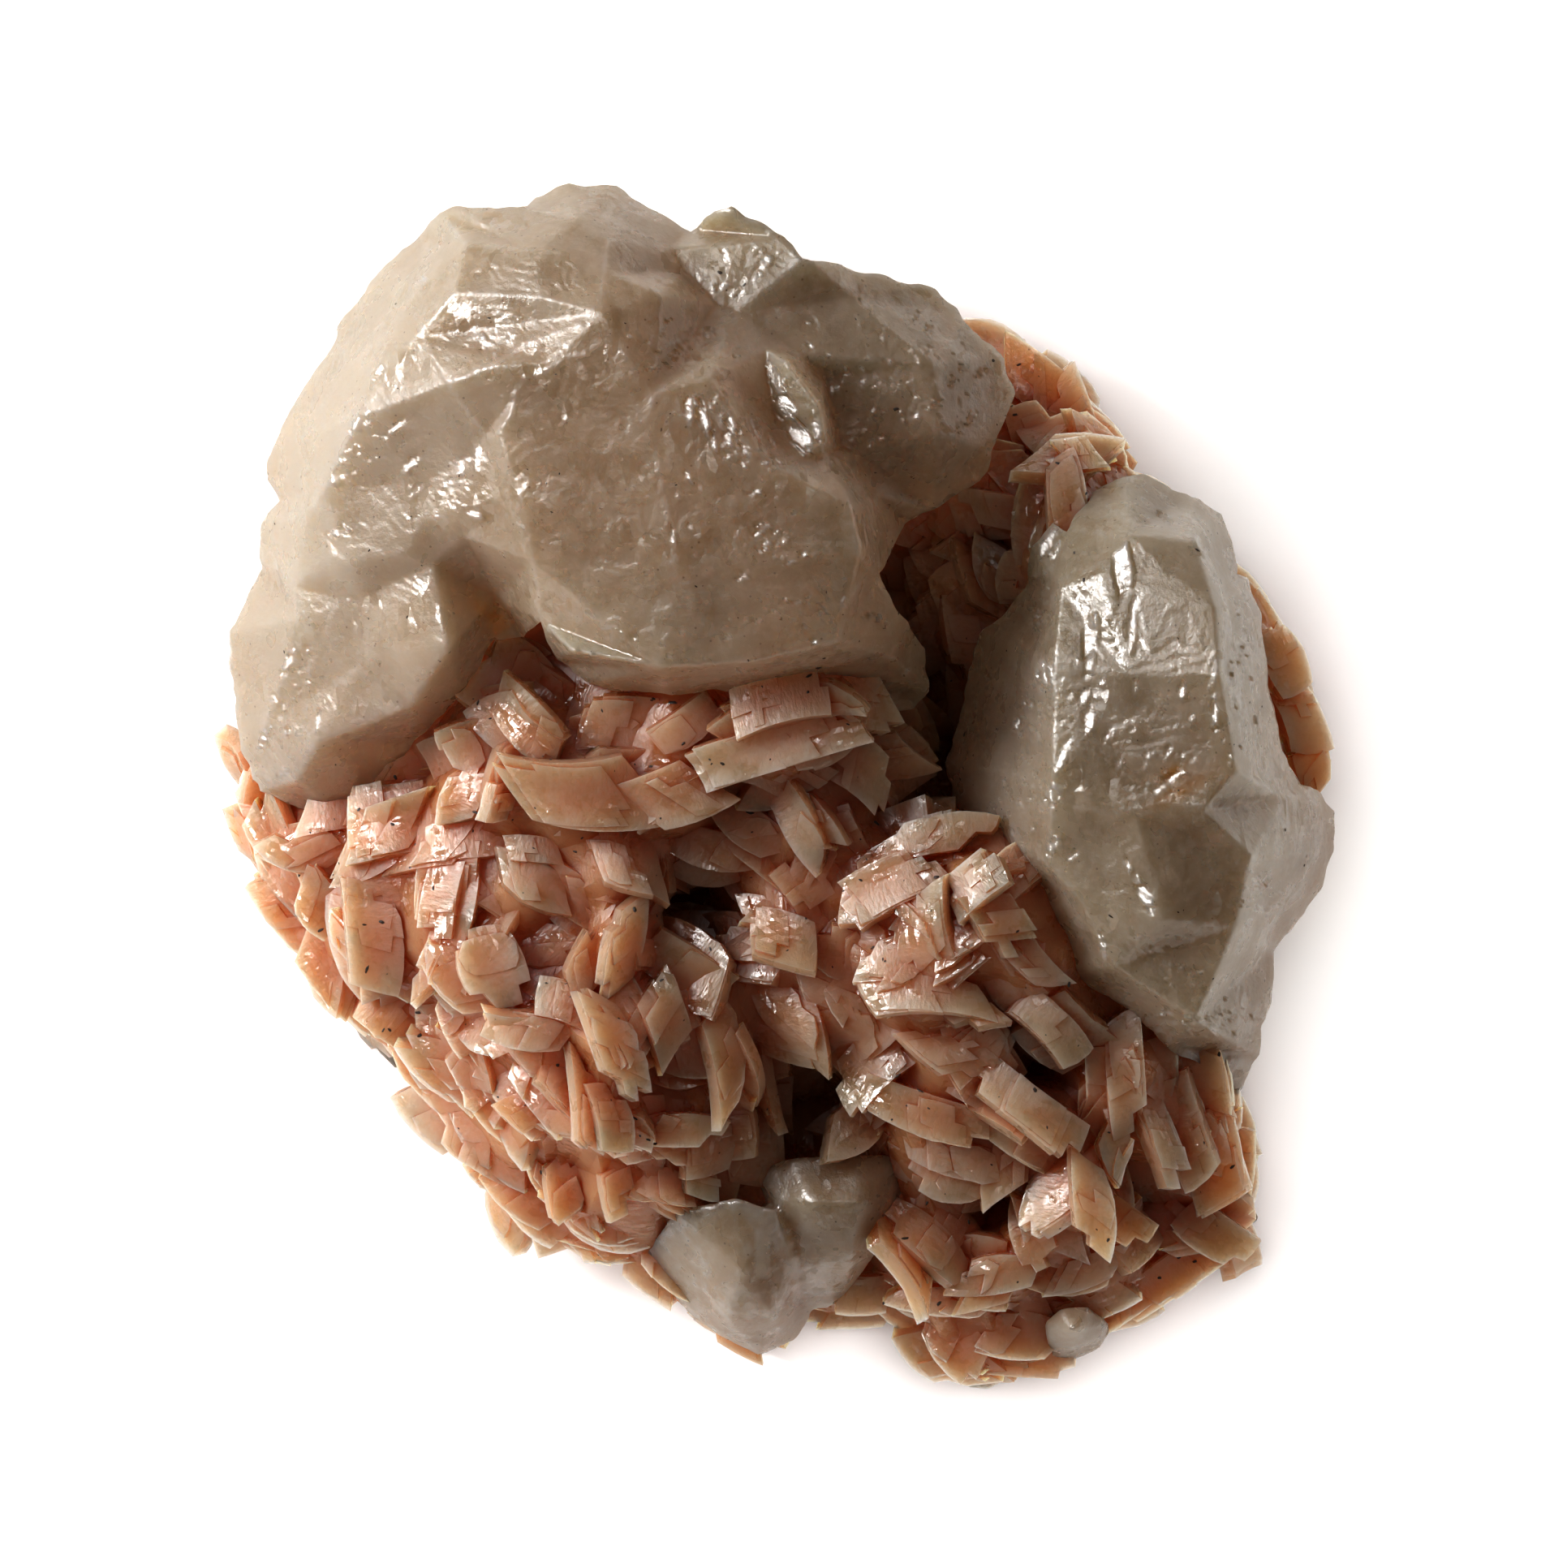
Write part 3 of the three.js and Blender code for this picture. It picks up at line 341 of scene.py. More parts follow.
# The blades: x, y, z of the middle, heading, pitch and roll in degrees, length, width, thickness
BLADES = [
    # the high ridge under the centre calcite
    (-18.9, 4.6, 28, -45, 10, 18, 6.4, 3.8, 2), (-15.3, -0.8, 29, -2, -3, 10, 10.6, 5, 3),
    (-8.6, -1.1, 28.5, 20, 0, 4, 6.8, 4.6, 2.6), (-0.4, 2.9, 30, 17, 4, 8, 12.6, 3.3, 3),
    (-0.3, 6.3, 31.5, 15, 3, -12, 7.4, 3.8, 2.4), (3.7, 6.2, 31, -40, -8, 22, 4.8, 3.2, 2),
    (5.8, 1.3, 26, -40, -12, 0, 5.8, 4, 2), (1.3, -2.7, 27, -58, -6, 30, 6.8, 3, 2),
    (-2, -3.5, 25, -40, -8, 12, 6.4, 3.2, 2), (-4.7, -4.9, 24, -12, -4, 10, 7, 3, 2.2),
    (-12, -6.3, 27, -15, 4, -20, 3.8, 3.4, 2), (-17.5, 7, 24, -35, 0, 25, 5.4, 3.6, 2),
    (-12.3, 4.8, 27, 0, 0, 14, 5.6, 4, 2.2), (-7.2, 4.3, 29, 35, 8, 10, 5.4, 2.8, 2),
    # the middle
    (1.6, -7.6, 24, -55, -10, -10, 4.8, 3.4, 2), (0, -11.7, 25, -15, 8, -24, 5.2, 4.2, 2),
    (4, -12.3, 23.5, -10, -6, 14, 4.4, 4, 2), (8, -7.4, 26, 25, 6, -14, 7.8, 3.8, 2.2),
    (11, -3.9, 25.5, 12, 4, -12, 9, 2.8, 2.4), (14.3, -7.4, 28.5, 40, 12, -22, 5, 3.4, 2),
    (16, -10.5, 28, -60, -8, -18, 5.4, 3.6, 2), (18, -13, 26, -48, -16, -10, 6.4, 2.4, 2),
    (10, -10, 27, -80, 0, 38, 4.6, 2.6, 2), (12.5, -11.5, 27, 35, 10, -18, 5.2, 3.2, 2),
    (8.5, -13.8, 26, 10, 0, -18, 4.8, 3, 2), (10.6, -15.5, 26, -3, 0, -10, 9.4, 2.8, 2.4),
    (-6.5, -10.8, 16.5, -5, 0, 6, 6.4, 4.2, 2),
    # the left slope
    (-22.7, 3.2, 25, 15, 4, 14, 5.8, 3.8, 2.2), (-23.4, -0.6, 25, 70, 4, -20, 4.8, 3.4, 2),
    (-21.2, -0.8, 27, 75, 0, 48, 4.2, 2.2, 2), (-23, -4, 23.5, 5, 4, -10, 6.8, 3.2, 2.2),
    (-18.6, -7.4, 25.5, -25, -4, -14, 5.4, 3.4, 2), (-17.3, -12, 22.5, -40, 0, 12, 5.2, 4.2, 2),
    (-25.3, -8.6, 23, 80, 4, -22, 5.8, 2.8, 2), (-30.3, -11.3, 19.5, -85, -8, -6, 8.2, 4.2, 2.4),
    (-32.3, -11.6, 18, -84, -8, 50, 5, 2.2, 2), (-34.5, -8.5, 15, -50, -6, 20, 5.4, 3.8, 2),
    (-28.9, -3.6, 21, 15, 6, -8, 5.8, 3.4, 2), (-27.3, 1.4, 18.5, 55, 10, 6, 6.4, 3.6, 2),
    (-21.6, -13.6, 24, -70, 0, -6, 6.4, 5, 2.2), (-25.2, -11.6, 22, 62, 6, -45, 4.6, 2, 1.8),
    (-18.5, -18.3, 24, -8, 0, 8, 7.2, 2.9, 2.4), (-16, -16.2, 24.5, -20, 0, -8, 4.8, 3, 2),
    (-28.5, -17.2, 14, -35, -6, 8, 5.8, 4, 2.2), (-27.2, -19.9, 11.5, -65, -8, 14, 5.2, 3.2, 2),
    (-23.5, -18, 18, -60, 0, 22, 6, 3, 2), (-37.9, -3.4, 11, -60, -4, 20, 4.8, 3.4, 2.4),
    (-35.2, -4.8, 15.5, -20, 0, 10, 5.4, 3.8, 2.4), (-33, -1.8, 16, 10, 4, -4, 5.4, 3.2, 2.2),
    (-36.6, -9.6, 10, -52, -6, 24, 6.4, 2.8, 2.2), (-33.6, -13.8, 11.5, -50, -6, 18, 6, 3.2, 2.2),
    (-38.9, 0.1, 10, 75, 0, 26, 3.4, 2.2, 2),
    # the left mound
    (-12, -12.1, 27, 80, 6, 36, 6.8, 3.2, 2), (-12.6, -19.2, 27, -70, -6, -26, 8.4, 3.4, 2.2),
    (-8.9, -17.3, 25.5, -70, -6, -20, 5.4, 3.4, 2), (-7.3, -13.6, 24, -32, -10, 10, 6.8, 3.6, 2.2),
    (-7.9, -21.2, 21, 0, 0, -8, 4, 3, 2), (-4.3, -20.5, 23.5, -80, -6, -34, 8, 3, 2.2),
    (-7.8, -25.5, 21, -2, 0, 8, 6.8, 2.6, 2.2), (-3.3, -25.4, 18.5, -85, -8, 16, 4.8, 3, 2),
    (-12.7, -24.6, 24, -75, -6, -20, 5.4, 2.8, 2), (-14.5, -23.4, 23.5, -85, -6, -28, 7.4, 2.6, 2),
    (-18.4, -24.5, 19.5, -40, -4, -6, 4.8, 3.4, 2), (-17, -21.9, 22, -45, -4, -28, 5.4, 2.4, 2),
    (-21.5, -23.2, 15.5, -55, -6, 22, 5.8, 3.4, 2.2), (-9, -29.6, 17, -15, -6, -6, 4.8, 2.8, 2),
    (-12.4, -29.8, 17.5, -80, -8, -18, 4.6, 2.6, 2), (-16.3, -29.9, 14.5, -80, -8, -14, 4.8, 3, 2.2),
    (-18.6, -30, 10.5, -40, -8, 16, 6, 4.6, 3), (-24, -25.2, 10.5, -45, -6, 18, 5, 3.6, 2.6),
    (-21.6, -27.4, 11, -30, -6, 10, 4.6, 3, 2.4), (-12.6, -33.2, 8.5, -15, -6, 12, 6.2, 3, 2.6),
    (-8.6, -35.4, 9, -38, -6, 10, 5.6, 3, 2.4), (-3.6, -40.6, 4.8, -28, -2, 10, 6, 2.4, 2.2),
    # the valley
    (0.6, -17.2, 21.5, -80, -8, 16, 6.6, 5, 2), (-1.9, -21.4, 18.5, -80, -8, 40, 7.4, 2.6, 2),
    (4.4, -14.2, 23, -75, -8, 10, 5, 3.2, 2),
    # the right mound
    (6.5, -20.8, 20.5, 45, 10, -10, 7, 4, 2.2), (12.4, -20, 23, -40, -6, -12, 5.4, 3.8, 2.2),
    (18, -24, 22.5, -37, -4, -14, 10, 3, 2.8), (10.5, -24.4, 20.5, -18, -4, 6, 9.8, 3.2, 2.6),
    (13, -27.7, 18, -12, -6, 12, 8.4, 2.8, 2.2), (16.6, -27.8, 17.5, 35, 0, 14, 5.4, 3.8, 2.2),
    (19.9, -18, 24, -45, -10, -10, 6.6, 2.8, 2.4), (15.6, -19, 22.5, -50, -8, 8, 5.4, 2.8, 2),
    (22.8, -31, 20.5, -86, -10, -12, 6.8, 3.2, 2.6), (25.2, -21.4, 21, -86, -6, -6, 9, 2.9, 2.4),
    (27.6, -26, 19, -68, -8, -34, 8.8, 2.6, 2.2), (29.8, -25.6, 17, -72, -10, 16, 8.4, 3.2, 2.2),
    (31.8, -27, 13.5, -78, -6, 22, 8.6, 3.8, 2.6), (31.4, -33, 10, -35, -8, 4, 7.4, 3.4, 2.6),
    (31, -21.4, 16.5, -80, -8, -8, 5.2, 3.4, 2.2), (28, -36.3, 7.5, 34, 0, 24, 8.6, 3.4, 2.6),
    (22.4, -35.8, 12.5, 16, 0, 20, 5.4, 2.6, 2.2), (28.4, -32.6, 9.5, -40, -4, 4, 6, 3.6, 2.4),
    # the curved blades of the bottom edge
    (10.4, -33.8, 15, -42, -6, -26, 8.2, 3.2, 2.2), (15.4, -36.2, 14, 6, 0, 10, 6.6, 3, 2.2),
    (18.3, -32.6, 15, -78, -4, 16, 6.8, 3.2, 2.2), (12.6, -37.9, 11, -6, -2, 24, 9.2, 2.8, 2.4),
    (6.6, -37.6, 8.5, 6, 0, 20, 5, 3, 2.2), (12.8, -41, 7.5, -50, -4, 20, 5.8, 4.2, 3),
    (17, -40.4, 8.5, -10, 0, 18, 6.4, 4, 2.6), (24.6, -38.2, 8, 32, 0, 22, 6, 3.2, 2.4),
    # the upper right edge
    (20.9, 20.2, 25, -86, 4, -8, 8.4, 3, 2.8), (21.3, 24.2, 24, 8, 0, -16, 3.8, 2.6, 2),
    (16.4, 20.2, 18.5, -10, -4, 6, 6.8, 2.6, 2.2), (15.4, 17.2, 14, -22, -6, 10, 6.6, 3.4, 2),
    (19.1, 16.8, 23, 75, 0, 40, 4.8, 2.4, 2), (18.6, 29.6, 13, -35, 0, -10, 5.6, 4, 2.4),
    (23.2, 25.4, 12, -50, -6, -16, 5, 3, 2.4), (24.6, 23.2, 12.5, -40, -4, -12, 4.4, 3, 2.4),
    (13.2, 10.8, 14, -80, -4, -18, 6.4, 2.8, 2.2), (14.4, 15, 15.5, -75, 0, -22, 5, 3, 2.2),
    (18.6, 25.6, 15.5, -60, 0, -6, 5.6, 3.4, 2.2),
    # the rim behind the right calcites
    (36.8, 9, 10.5, -64, 0, -20, 5.4, 3.4, 2.6), (38.2, 4.6, 9.5, -68, 0, -22, 5.2, 3.2, 2.6),
]

# Smaller blades between the large ones
SMALL_BLADES = [
    (-18.5, -4.9, 25.5, -5, 0, -12, 4, 2, 1.8), (-26, -14.4, 20, 40, 6, -40, 3.6, 1.8, 1.8),
    (3.6, -20.1, 18, 75, 8, 46, 2.8, 1.6, 1.6), (14.4, -17.2, 25, 10, 0, -26, 4, 2, 1.8),
    (-2.5, -7.8, 21, -10, 0, 10, 4, 2.5, 1.8), (25.3, -32.6, 15.5, -35, -6, 0, 4.2, 2.8, 2),
    (24.2, -26.2, 20, -70, -6, -16, 4.8, 2.8, 2), (-21.3, -8.3, 23, -30, 0, -8, 4.6, 2.6, 2),
    (-6.3, -28.8, 18, -80, -8, -16, 4, 2.4, 2), (39, 1.2, 9, -72, 0, -20, 4, 3, 2.4),
    (-9.2, -6.2, 23.5, -85, -4, 30, 5.2, 2.2, 2), (7.6, 1.8, 23.5, -38, -14, 6, 5, 3.6, 2),
    (-14.6, -13.2, 25.5, 60, 0, 20, 4.6, 3, 2), (21, 27.8, 13, -70, -4, -14, 4.8, 3.2, 2.4),
    (-24.6, -21.8, 11.5, -60, -6, 26, 5.2, 3, 2.2), (17.6, -42.6, 5.5, -4, 0, 6, 6, 2.4, 2.2),
]

# The upper calcites: named corners of their facets, x, y, z
UPPER_CORNERS = {
    # rounded crystal at the far left
    "c1": (-40.8, 11.2, 19), "c2": (-40.7, 7, 18), "c3": (-40.2, 2.5, 16), "c4": (-38.5, -0.5, 15),
    "c5": (-36, -1.9, 14), "c6": (-33, -2.1, 15), "c7": (-30, -0.6, 17), "c8": (-27.5, 3, 20),
    "c9": (-24, 6.5, 25), "c10": (-21.5, 10.5, 26), "c11": (-21.3, 13.8, 29), "c12": (-38.5, 15.9, 19),
    "c13": (-31.4, 13.8, 28.6), "c14": (-31.3, 9, 27.4), "c15": (-34.5, 3, 24), "c16": (-36, 0.3, 20),
    "c21": (-24.8, 10, 33), "c17": (-35.8, 12.3, 26), "c18": (-38.2, 4.5, 21), "c19": (-27.5, 5.8, 28.5),
    "c20": (-26, 16.3, 33),
    # lumps between it and the left slab
    "l1": (-38.4, 19.5, 21), "l2": (-38.6, 17.3, 20), "l3": (-37.4, 21, 22), "l4": (-35.2, 19.8, 28.5),
    "l5": (-33.4, 16.8, 30), "l6": (-36.2, 14.6, 26), "l7": (-31.8, 16.2, 31), "l8": (-28.2, 16.9, 33),
    "l9": (-26.6, 19.3, 34.5),
    # left slab
    "s1": (-38.1, 22.4, 21), "s2": (-37.8, 25, 22), "s3": (-35, 30, 23), "s4": (-32, 35, 23.5),
    "s5": (-30, 38, 24), "s6": (-27, 40.3, 25), "s7": (-34, 21.8, 31), "s8": (-31.5, 27, 34.5),
    "s9": (-29.5, 31.5, 34.6), "s10": (-27.2, 36.5, 33), "s11": (-27.4, 33, 36.2), "s12": (-24.3, 29.8, 39.4),
    "s13": (-22.5, 25.3, 38), "s14": (-26, 22.5, 35.4), "s15": (-28, 27, 35.8),
    # middle crystal
    "m1": (-19.8, 21.5, 39.4), "m2": (-18.6, 16.5, 38.3), "m3": (-18, 12, 34.5), "m4": (-19.3, 10.8, 27),
    "m5": (-20, 11.9, 27), "m6": (-23.5, 18.3, 35),
    # top crystal and the one behind it
    "t2": (-25.3, 42.2, 29), "t3": (-24.3, 42.6, 30), "t5": (-19, 42.6, 31), "t6": (-15.5, 41.8, 34),
    "t7": (-12.7, 40, 36), "t9": (-23.5, 40, 35), "t10": (-24.3, 36.3, 37.5), "t11": (-18, 39.3, 37.5),
    "t13": (-12.8, 37.8, 38.5), "t15": (-20.5, 31, 40.5), "t16": (-18, 36, 39.5),
    "h2": (-18.4, 43.4, 27), "h3": (-15.8, 44.3, 27), "h4": (-12.5, 44.2, 27), "h5": (-10, 42.6, 27.5),
    "h6": (-6.9, 41, 28), "h8": (-12, 42.3, 31),
    # centre block
    "b1": (-21, 25.8, 39.8), "b2": (-17.2, 31.3, 40.7), "b3": (-13.4, 34.8, 40.6), "b4": (-9, 36.2, 38.5),
    "b10": (-16.8, 9.2, 28), "b11": (-14.5, 7.4, 29), "b12": (-9, 6.5, 30), "b13": (-3.5, 7, 30.5),
    "b14": (3, 8.3, 31), "b16": (8.4, 12.8, 32.5), "b17": (7.2, 15.6, 34), "b18": (5.7, 17.5, 39.2),
    "b19": (5, 20.5, 39.2), "b20": (4.4, 22, 38), "j1": (-15.6, 9.8, 38), "j2": (-9, 8.6, 38.6),
    "j3": (-2.5, 9, 38.4), "j4": (4, 10.6, 38.2), "k1": (-9.8, 29, 40.7), "k2": (-9.3, 23.5, 40.6),
    "k3": (-8, 16.5, 40.3), "k4": (-1, 23.5, 40.1), "k5": (-1.5, 16, 40), "n1": (-5.5, 30, 40.2),
    "w1": (-19.8, 28.5, 40.2),
    # rhomb on the upper edge, and the dark facet beside it
    "r1": (-8.2, 39.6, 31.8), "r3": (-4.9, 42.4, 31.8), "r4": (-3.9, 42.7, 32), "r5": (0, 40.4, 32.3),
    "r6": (1.6, 38.9, 32.8), "r7": (-3.1, 34.9, 33.2), "r8": (-5, 35.4, 33), "r9": (-7.3, 37.8, 32.4),
    "v1": (-4, 33.5, 35), "x1": (1.3, 31.7, 33.5), "x2": (5, 36, 31), "x3": (4, 25, 31.6), "x4": (3, 30, 32),
    # bright lens
    "e1": (-1.3, 32.2, 34.5), "e2": (0.2, 31.2, 37), "e3": (2.8, 27.8, 37.6), "e4": (3.2, 25.5, 37),
    "e5": (3.1, 24, 36.5), "e6": (1, 24, 38), "e7": (-0.7, 27.3, 35.5),
    # broad crystal of the upper right
    "f2": (8.9, 19.1, 27), "f3": (7, 21.3, 31), "d2": (5.5, 38, 29), "d3": (10, 37, 26),
    "d4": (11.5, 36.3, 25), "d5": (12.8, 35, 25), "d6": (13.3, 34.1, 26), "d7": (16.4, 31.5, 25),
    "d8": (17, 29, 25), "d9": (15.3, 24.5, 26), "d10": (14.6, 22.2, 25), "d11": (11, 20.2, 27),
    "d13": (5.2, 24.5, 31.6), "d15": (11, 31, 31.9), "d16": (11.5, 26, 31.6),
    # lower right crystal of the centre
    "g1": (8.4, 9.2, 30.5), "g3": (10.5, 10.2, 25), "g4": (10.7, 7, 23.5), "g5": (9.6, 5.5, 22.5),
    "g6": (7.2, 5.1, 23), "g7": (4.7, 6.2, 25), "g8": (6, 8.7, 31),
}

# Their facets, each anticlockwise from above
UPPER_FACETS = [
    "c12 c1 c2 c18 c17", "c2 c3 c4 c16 c18", "c4 c5 c6 c16", "c17 c18 c16 c15 c14 c13", "c15 c16 c6 c7",
    "c14 c15 c7 c8 c19", "c19 c8 c9", "c13 c14 c19 c21 c20", "c19 c9 c21", "c9 c10 c21", "c10 c11 c20 c21",
    "c11 c10 m4 m5",
    "l1 l2 c12 l6 l4 l3", "l4 l6 l5", "c12 c17 l6", "l6 c17 c13 l7 l5", "l3 l4 s7 s1", "l4 l5 l7 s7",
    "s1 s7 s8 s3 s2", "s3 s8 s9 s5 s4", "s5 s9 s11 s10 s6", "s7 l7 l8 l9 s14 s15 s8", "s15 s14 s13 s12",
    "s8 s15 s12 s11 s9",
    "s13 s14 l9 m6 m1 b1", "l9 l8 c20", "l7 c13 c20 l8", "m6 l9 c20 c11", "m1 m6 c11 m5 m4 m3 m2",
    "s12 s13 b1 w1 b2 t15",
    "s6 s10 t10 t9 t2", "s10 s11 t10", "t2 t9 t11 t5 t3", "t9 t10 t16 t11", "t10 s11 s12 t15 b2 b3 t16",
    "t16 b3 t13 t11", "t11 t13 t7 t6 t5", "t5 t6 h3 h2", "t6 t7 h8 h4 h3", "t13 b4 r9 r1 t7",
    "t7 r1 h6 h5 h8", "h8 h5 h4",
    "r1 r9 r8 r7 r6 r5 r4 r3 h6", "r7 e1 x1 x2 r6", "b4 r8 r9", "r8 v1 r7", "r7 v1 e1",
    "b2 w1 b1 m1 k2 k1 b3", "m1 m2 m3 j1 j2 k3 k2", "m3 b10 b11 b12 j2 j1", "k3 j2 j3 k5", "k2 k3 k5 k4",
    "k5 j3 j4 b18 b19 k4", "j2 b12 b13 j3", "j3 b13 b14 g8 j4", "j4 g8 g1 b16 b17 b18", "k1 k2 k4 n1",
    "n1 k4 e6 e7 e1 v1", "k1 n1 v1 r8 b4", "b3 k1 b4 t13",
    "e1 e7 e6 e5 e4 e3 e2", "e1 e2 e3 e4 x3 x4 x1", "k4 b19 b20 e5 e6", "e4 e5 b20 d13 x3",
    "b18 b17 f2 f3 b20 b19", "b20 f3 d13", "f3 f2 d11 d16 d13", "d16 d11 d10 d9", "d16 d9 d8 d7 d15",
    "x3 d13 d16 d15 x4", "x1 x4 d15 x2", "x2 d15 d7 d6 d5 d4 d3", "r6 x2 d3 d2",
    "b14 g7 g6 g5 g4 g1 g8", "g1 g4 g3 b16",
]
UPPER_MIDDLE = (-13, 22)

# The right calcites
RIGHT_CORNERS = {
    # upper edge and right edge
    "q1": (22.8, 21.5, 25), "q2": (25.2, 22.8, 24), "q3": (26.8, 22.8, 23), "q4": (30, 21.3, 21),
    "q5": (32.3, 20, 19), "q6": (33, 18, 19), "q7": (33.6, 15.4, 20), "q8": (34.4, 15, 19.5),
    "q9": (35.3, 12, 20), "q10": (36, 6.5, 21), "q11": (36.8, 2.5, 20), "q12": (38, 0, 17),
    "q13": (39.5, -0.6, 14.5), "q14": (40.8, -2, 12.5), "q15": (40.6, -5, 12), "q16": (39.8, -7.5, 12),
    "q17": (38.5, -9.5, 12), "q18": (37.3, -10.9, 12.5), "q19": (36.3, -12.2, 13), "q20": (36, -16, 13.5),
    "q21": (35, -20, 12), "q22": (33.5, -23, 10.5),
    # lower edge and left edge
    "q23": (31.2, -21, 17), "q24": (28.5, -19.5, 20), "q25": (26, -17, 21.5), "q26": (23, -15.3, 22),
    "q27": (20.6, -13.8, 21.5), "q28": (18.6, -10, 21.5), "q29": (16.8, -6.5, 21), "q30": (14.3, -3.3, 20),
    "q31": (12.6, -1, 19), "q32": (12.1, 1.5, 19), "q33": (12.8, 4, 19.5), "q34": (13.6, 7, 20),
    "q35": (14.5, 11, 21), "q36": (16.5, 13, 23), "q37": (18, 15, 25), "q38": (18.4, 17.8, 26),
    "q39": (19.8, 19.2, 27), "q40": (21, 18.5, 28.5),
    # left ridge
    "w1": (20.5, 14.5, 31), "w2": (20, 9, 33), "w3": (19.9, 0, 33), "w4": (19.6, -6, 29.5),
    # main face, lower crystal and right crystal
    "y1": (25.5, 18.5, 31.5), "y2": (30.5, 18, 30.5), "y3": (32, 13, 34), "y4": (32.3, 8, 35.3),
    "y5": (33.5, 1, 34), "y6": (26, -2.4, 33.4), "y7": (31, -2, 33.8), "y8": (34.6, -5.3, 31.4),
    "y9": (22, -8.8, 29.8), "y10": (28, -10, 32), "y11": (33.5, -10.5, 29.8), "y12": (30.5, -17.5, 26.2),
    "y13": (24.5, -13.5, 27.6), "y14": (36.8, -1, 24), "y15": (35.7, -9, 22), "y16": (25.5, 8, 34),
    "y17": (23.5, 15.5, 32.5),
}
RIGHT_FACETS = [
    "q38 q37 w1 q40 q39", "q37 q36 q35 w2 w1", "q35 q34 q33 q32 w3 w2", "q32 q31 q30 q29 w4 w3",
    "q29 q28 y9 w4", "q28 q27 y13 y9", "q27 q26 q25 q24 y12 y13", "y12 q24 q23 q22 q21",
    "y12 q21 q20 q19 y11", "y10 y13 y12 y11", "y9 y13 y10", "w4 y9 y10 y6", "y6 y10 y11 y8 y7", "w3 w4 y6",
    "w2 w3 y6 y7 y5 y4 y16", "w1 w2 y16 y17", "y17 y16 y4 y3 y1", "y1 y3 y2", "q40 w1 y17 y1 q1",
    "q1 y1 q3 q2", "y1 y2 q4 q3", "y2 q6 q5 q4", "y2 y3 q7 q6", "y3 y4 q10 q9 q8 q7", "y4 y5 q11 q10",
    "y5 y14 q12 q11", "y5 y7 y8 y14", "y14 y8 y15 q17 q16 q15 q14 q13 q12", "y15 q19 q18 q17",
    "y8 y11 q19 y15",
]
RIGHT_MIDDLE = (26, 1)

# Fine lines on the calcites: rise in mm, whiteness as a painted highlight, and the points of the line
CREASES = [
    (0.22, 0.5, [(-24.4, 29.6), (-22.6, 30.6), (-21, 31), (-19.2, 32.6), (-18, 33), (-15, 34),
                 (-13.6, 35.6), (-13, 40)]),
    (0.2, 0.45, [(-20.3, 27), (-19.8, 28.8), (-19, 30), (-17.4, 30.6), (-16, 31.5),
                 (-14.6, 31.7), (-13.5, 32.6)]),
    (0.2, 0.35, [(-27.3, 35), (-26, 31.8), (-25, 30), (-23.2, 27.4), (-21.7, 25.6), (-20.3, 27)]),
    (0.12, 0.35, [(-9.9, 26.9), (-9.6, 28.3), (-8.7, 29.3)]),
    (0.16, 0.25, [(-9.4, 25), (-8.9, 22), (-8.3, 19.1), (-8, 17.4)]),
    (0.1, 0.3, [(-9.2, 33), (-8.2, 32.5), (-7.3, 32.9), (-6.6, 32.2)]),
    (0.12, 0.25, [(-21, 25.6), (-19.6, 22), (-18.7, 18), (-18, 13)]),
    (0.14, 0.3, [(-31.6, 13.2), (-31.3, 8.5), (-29.4, 6.6), (-27.5, 5.2)]),
    (0.12, 0.3, [(-33, 13), (-35, 8.5), (-35.5, 4), (-34.2, 1)]),
    (0.16, 0.45, [(-35, 12), (-37, 7.6), (-38.2, 5), (-38.8, 2.5)]),
    (0.14, 0.3, [(-29.6, 34), (-31, 29), (-32, 26.5), (-34, 20.4)]),
    (0.1, 0.3, [(4.8, 21.5), (5.2, 19), (5.6, 17), (8, 13.5)]),
    (0.12, 0.3, [(-5.2, 35.1), (-3.4, 35.1), (1.7, 39.1)]),
    (0.12, 0.25, [(-7.8, 38.7), (-6.4, 36.8), (-5.2, 35.1)]),
    (0.14, 0.3, [(19.9, 14), (19.9, 8), (19.7, 3), (19.8, -3), (19.4, -6.4)]),
    (0.12, 0.3, [(21.6, -1.7), (24, -2.1), (28, -1.5), (31.5, -1.6), (33, -3.4), (34.4, -5.1)]),
    (0.1, 0.25, [(29.2, 17.6), (31.6, 15.6), (32.7, 14), (33, 11), (31.6, 9)]),
    (0.14, 0.3, [(34, 15), (34.6, 11), (35.6, 6), (36.3, 2)]),
    (0.1, 0.35, [(31.4, -9.4), (32, -11), (32.3, -13)]),
    (0.12, 0.25, [(37.5, -0.8), (36.2, -2.8), (35.2, -4.5)]),
]
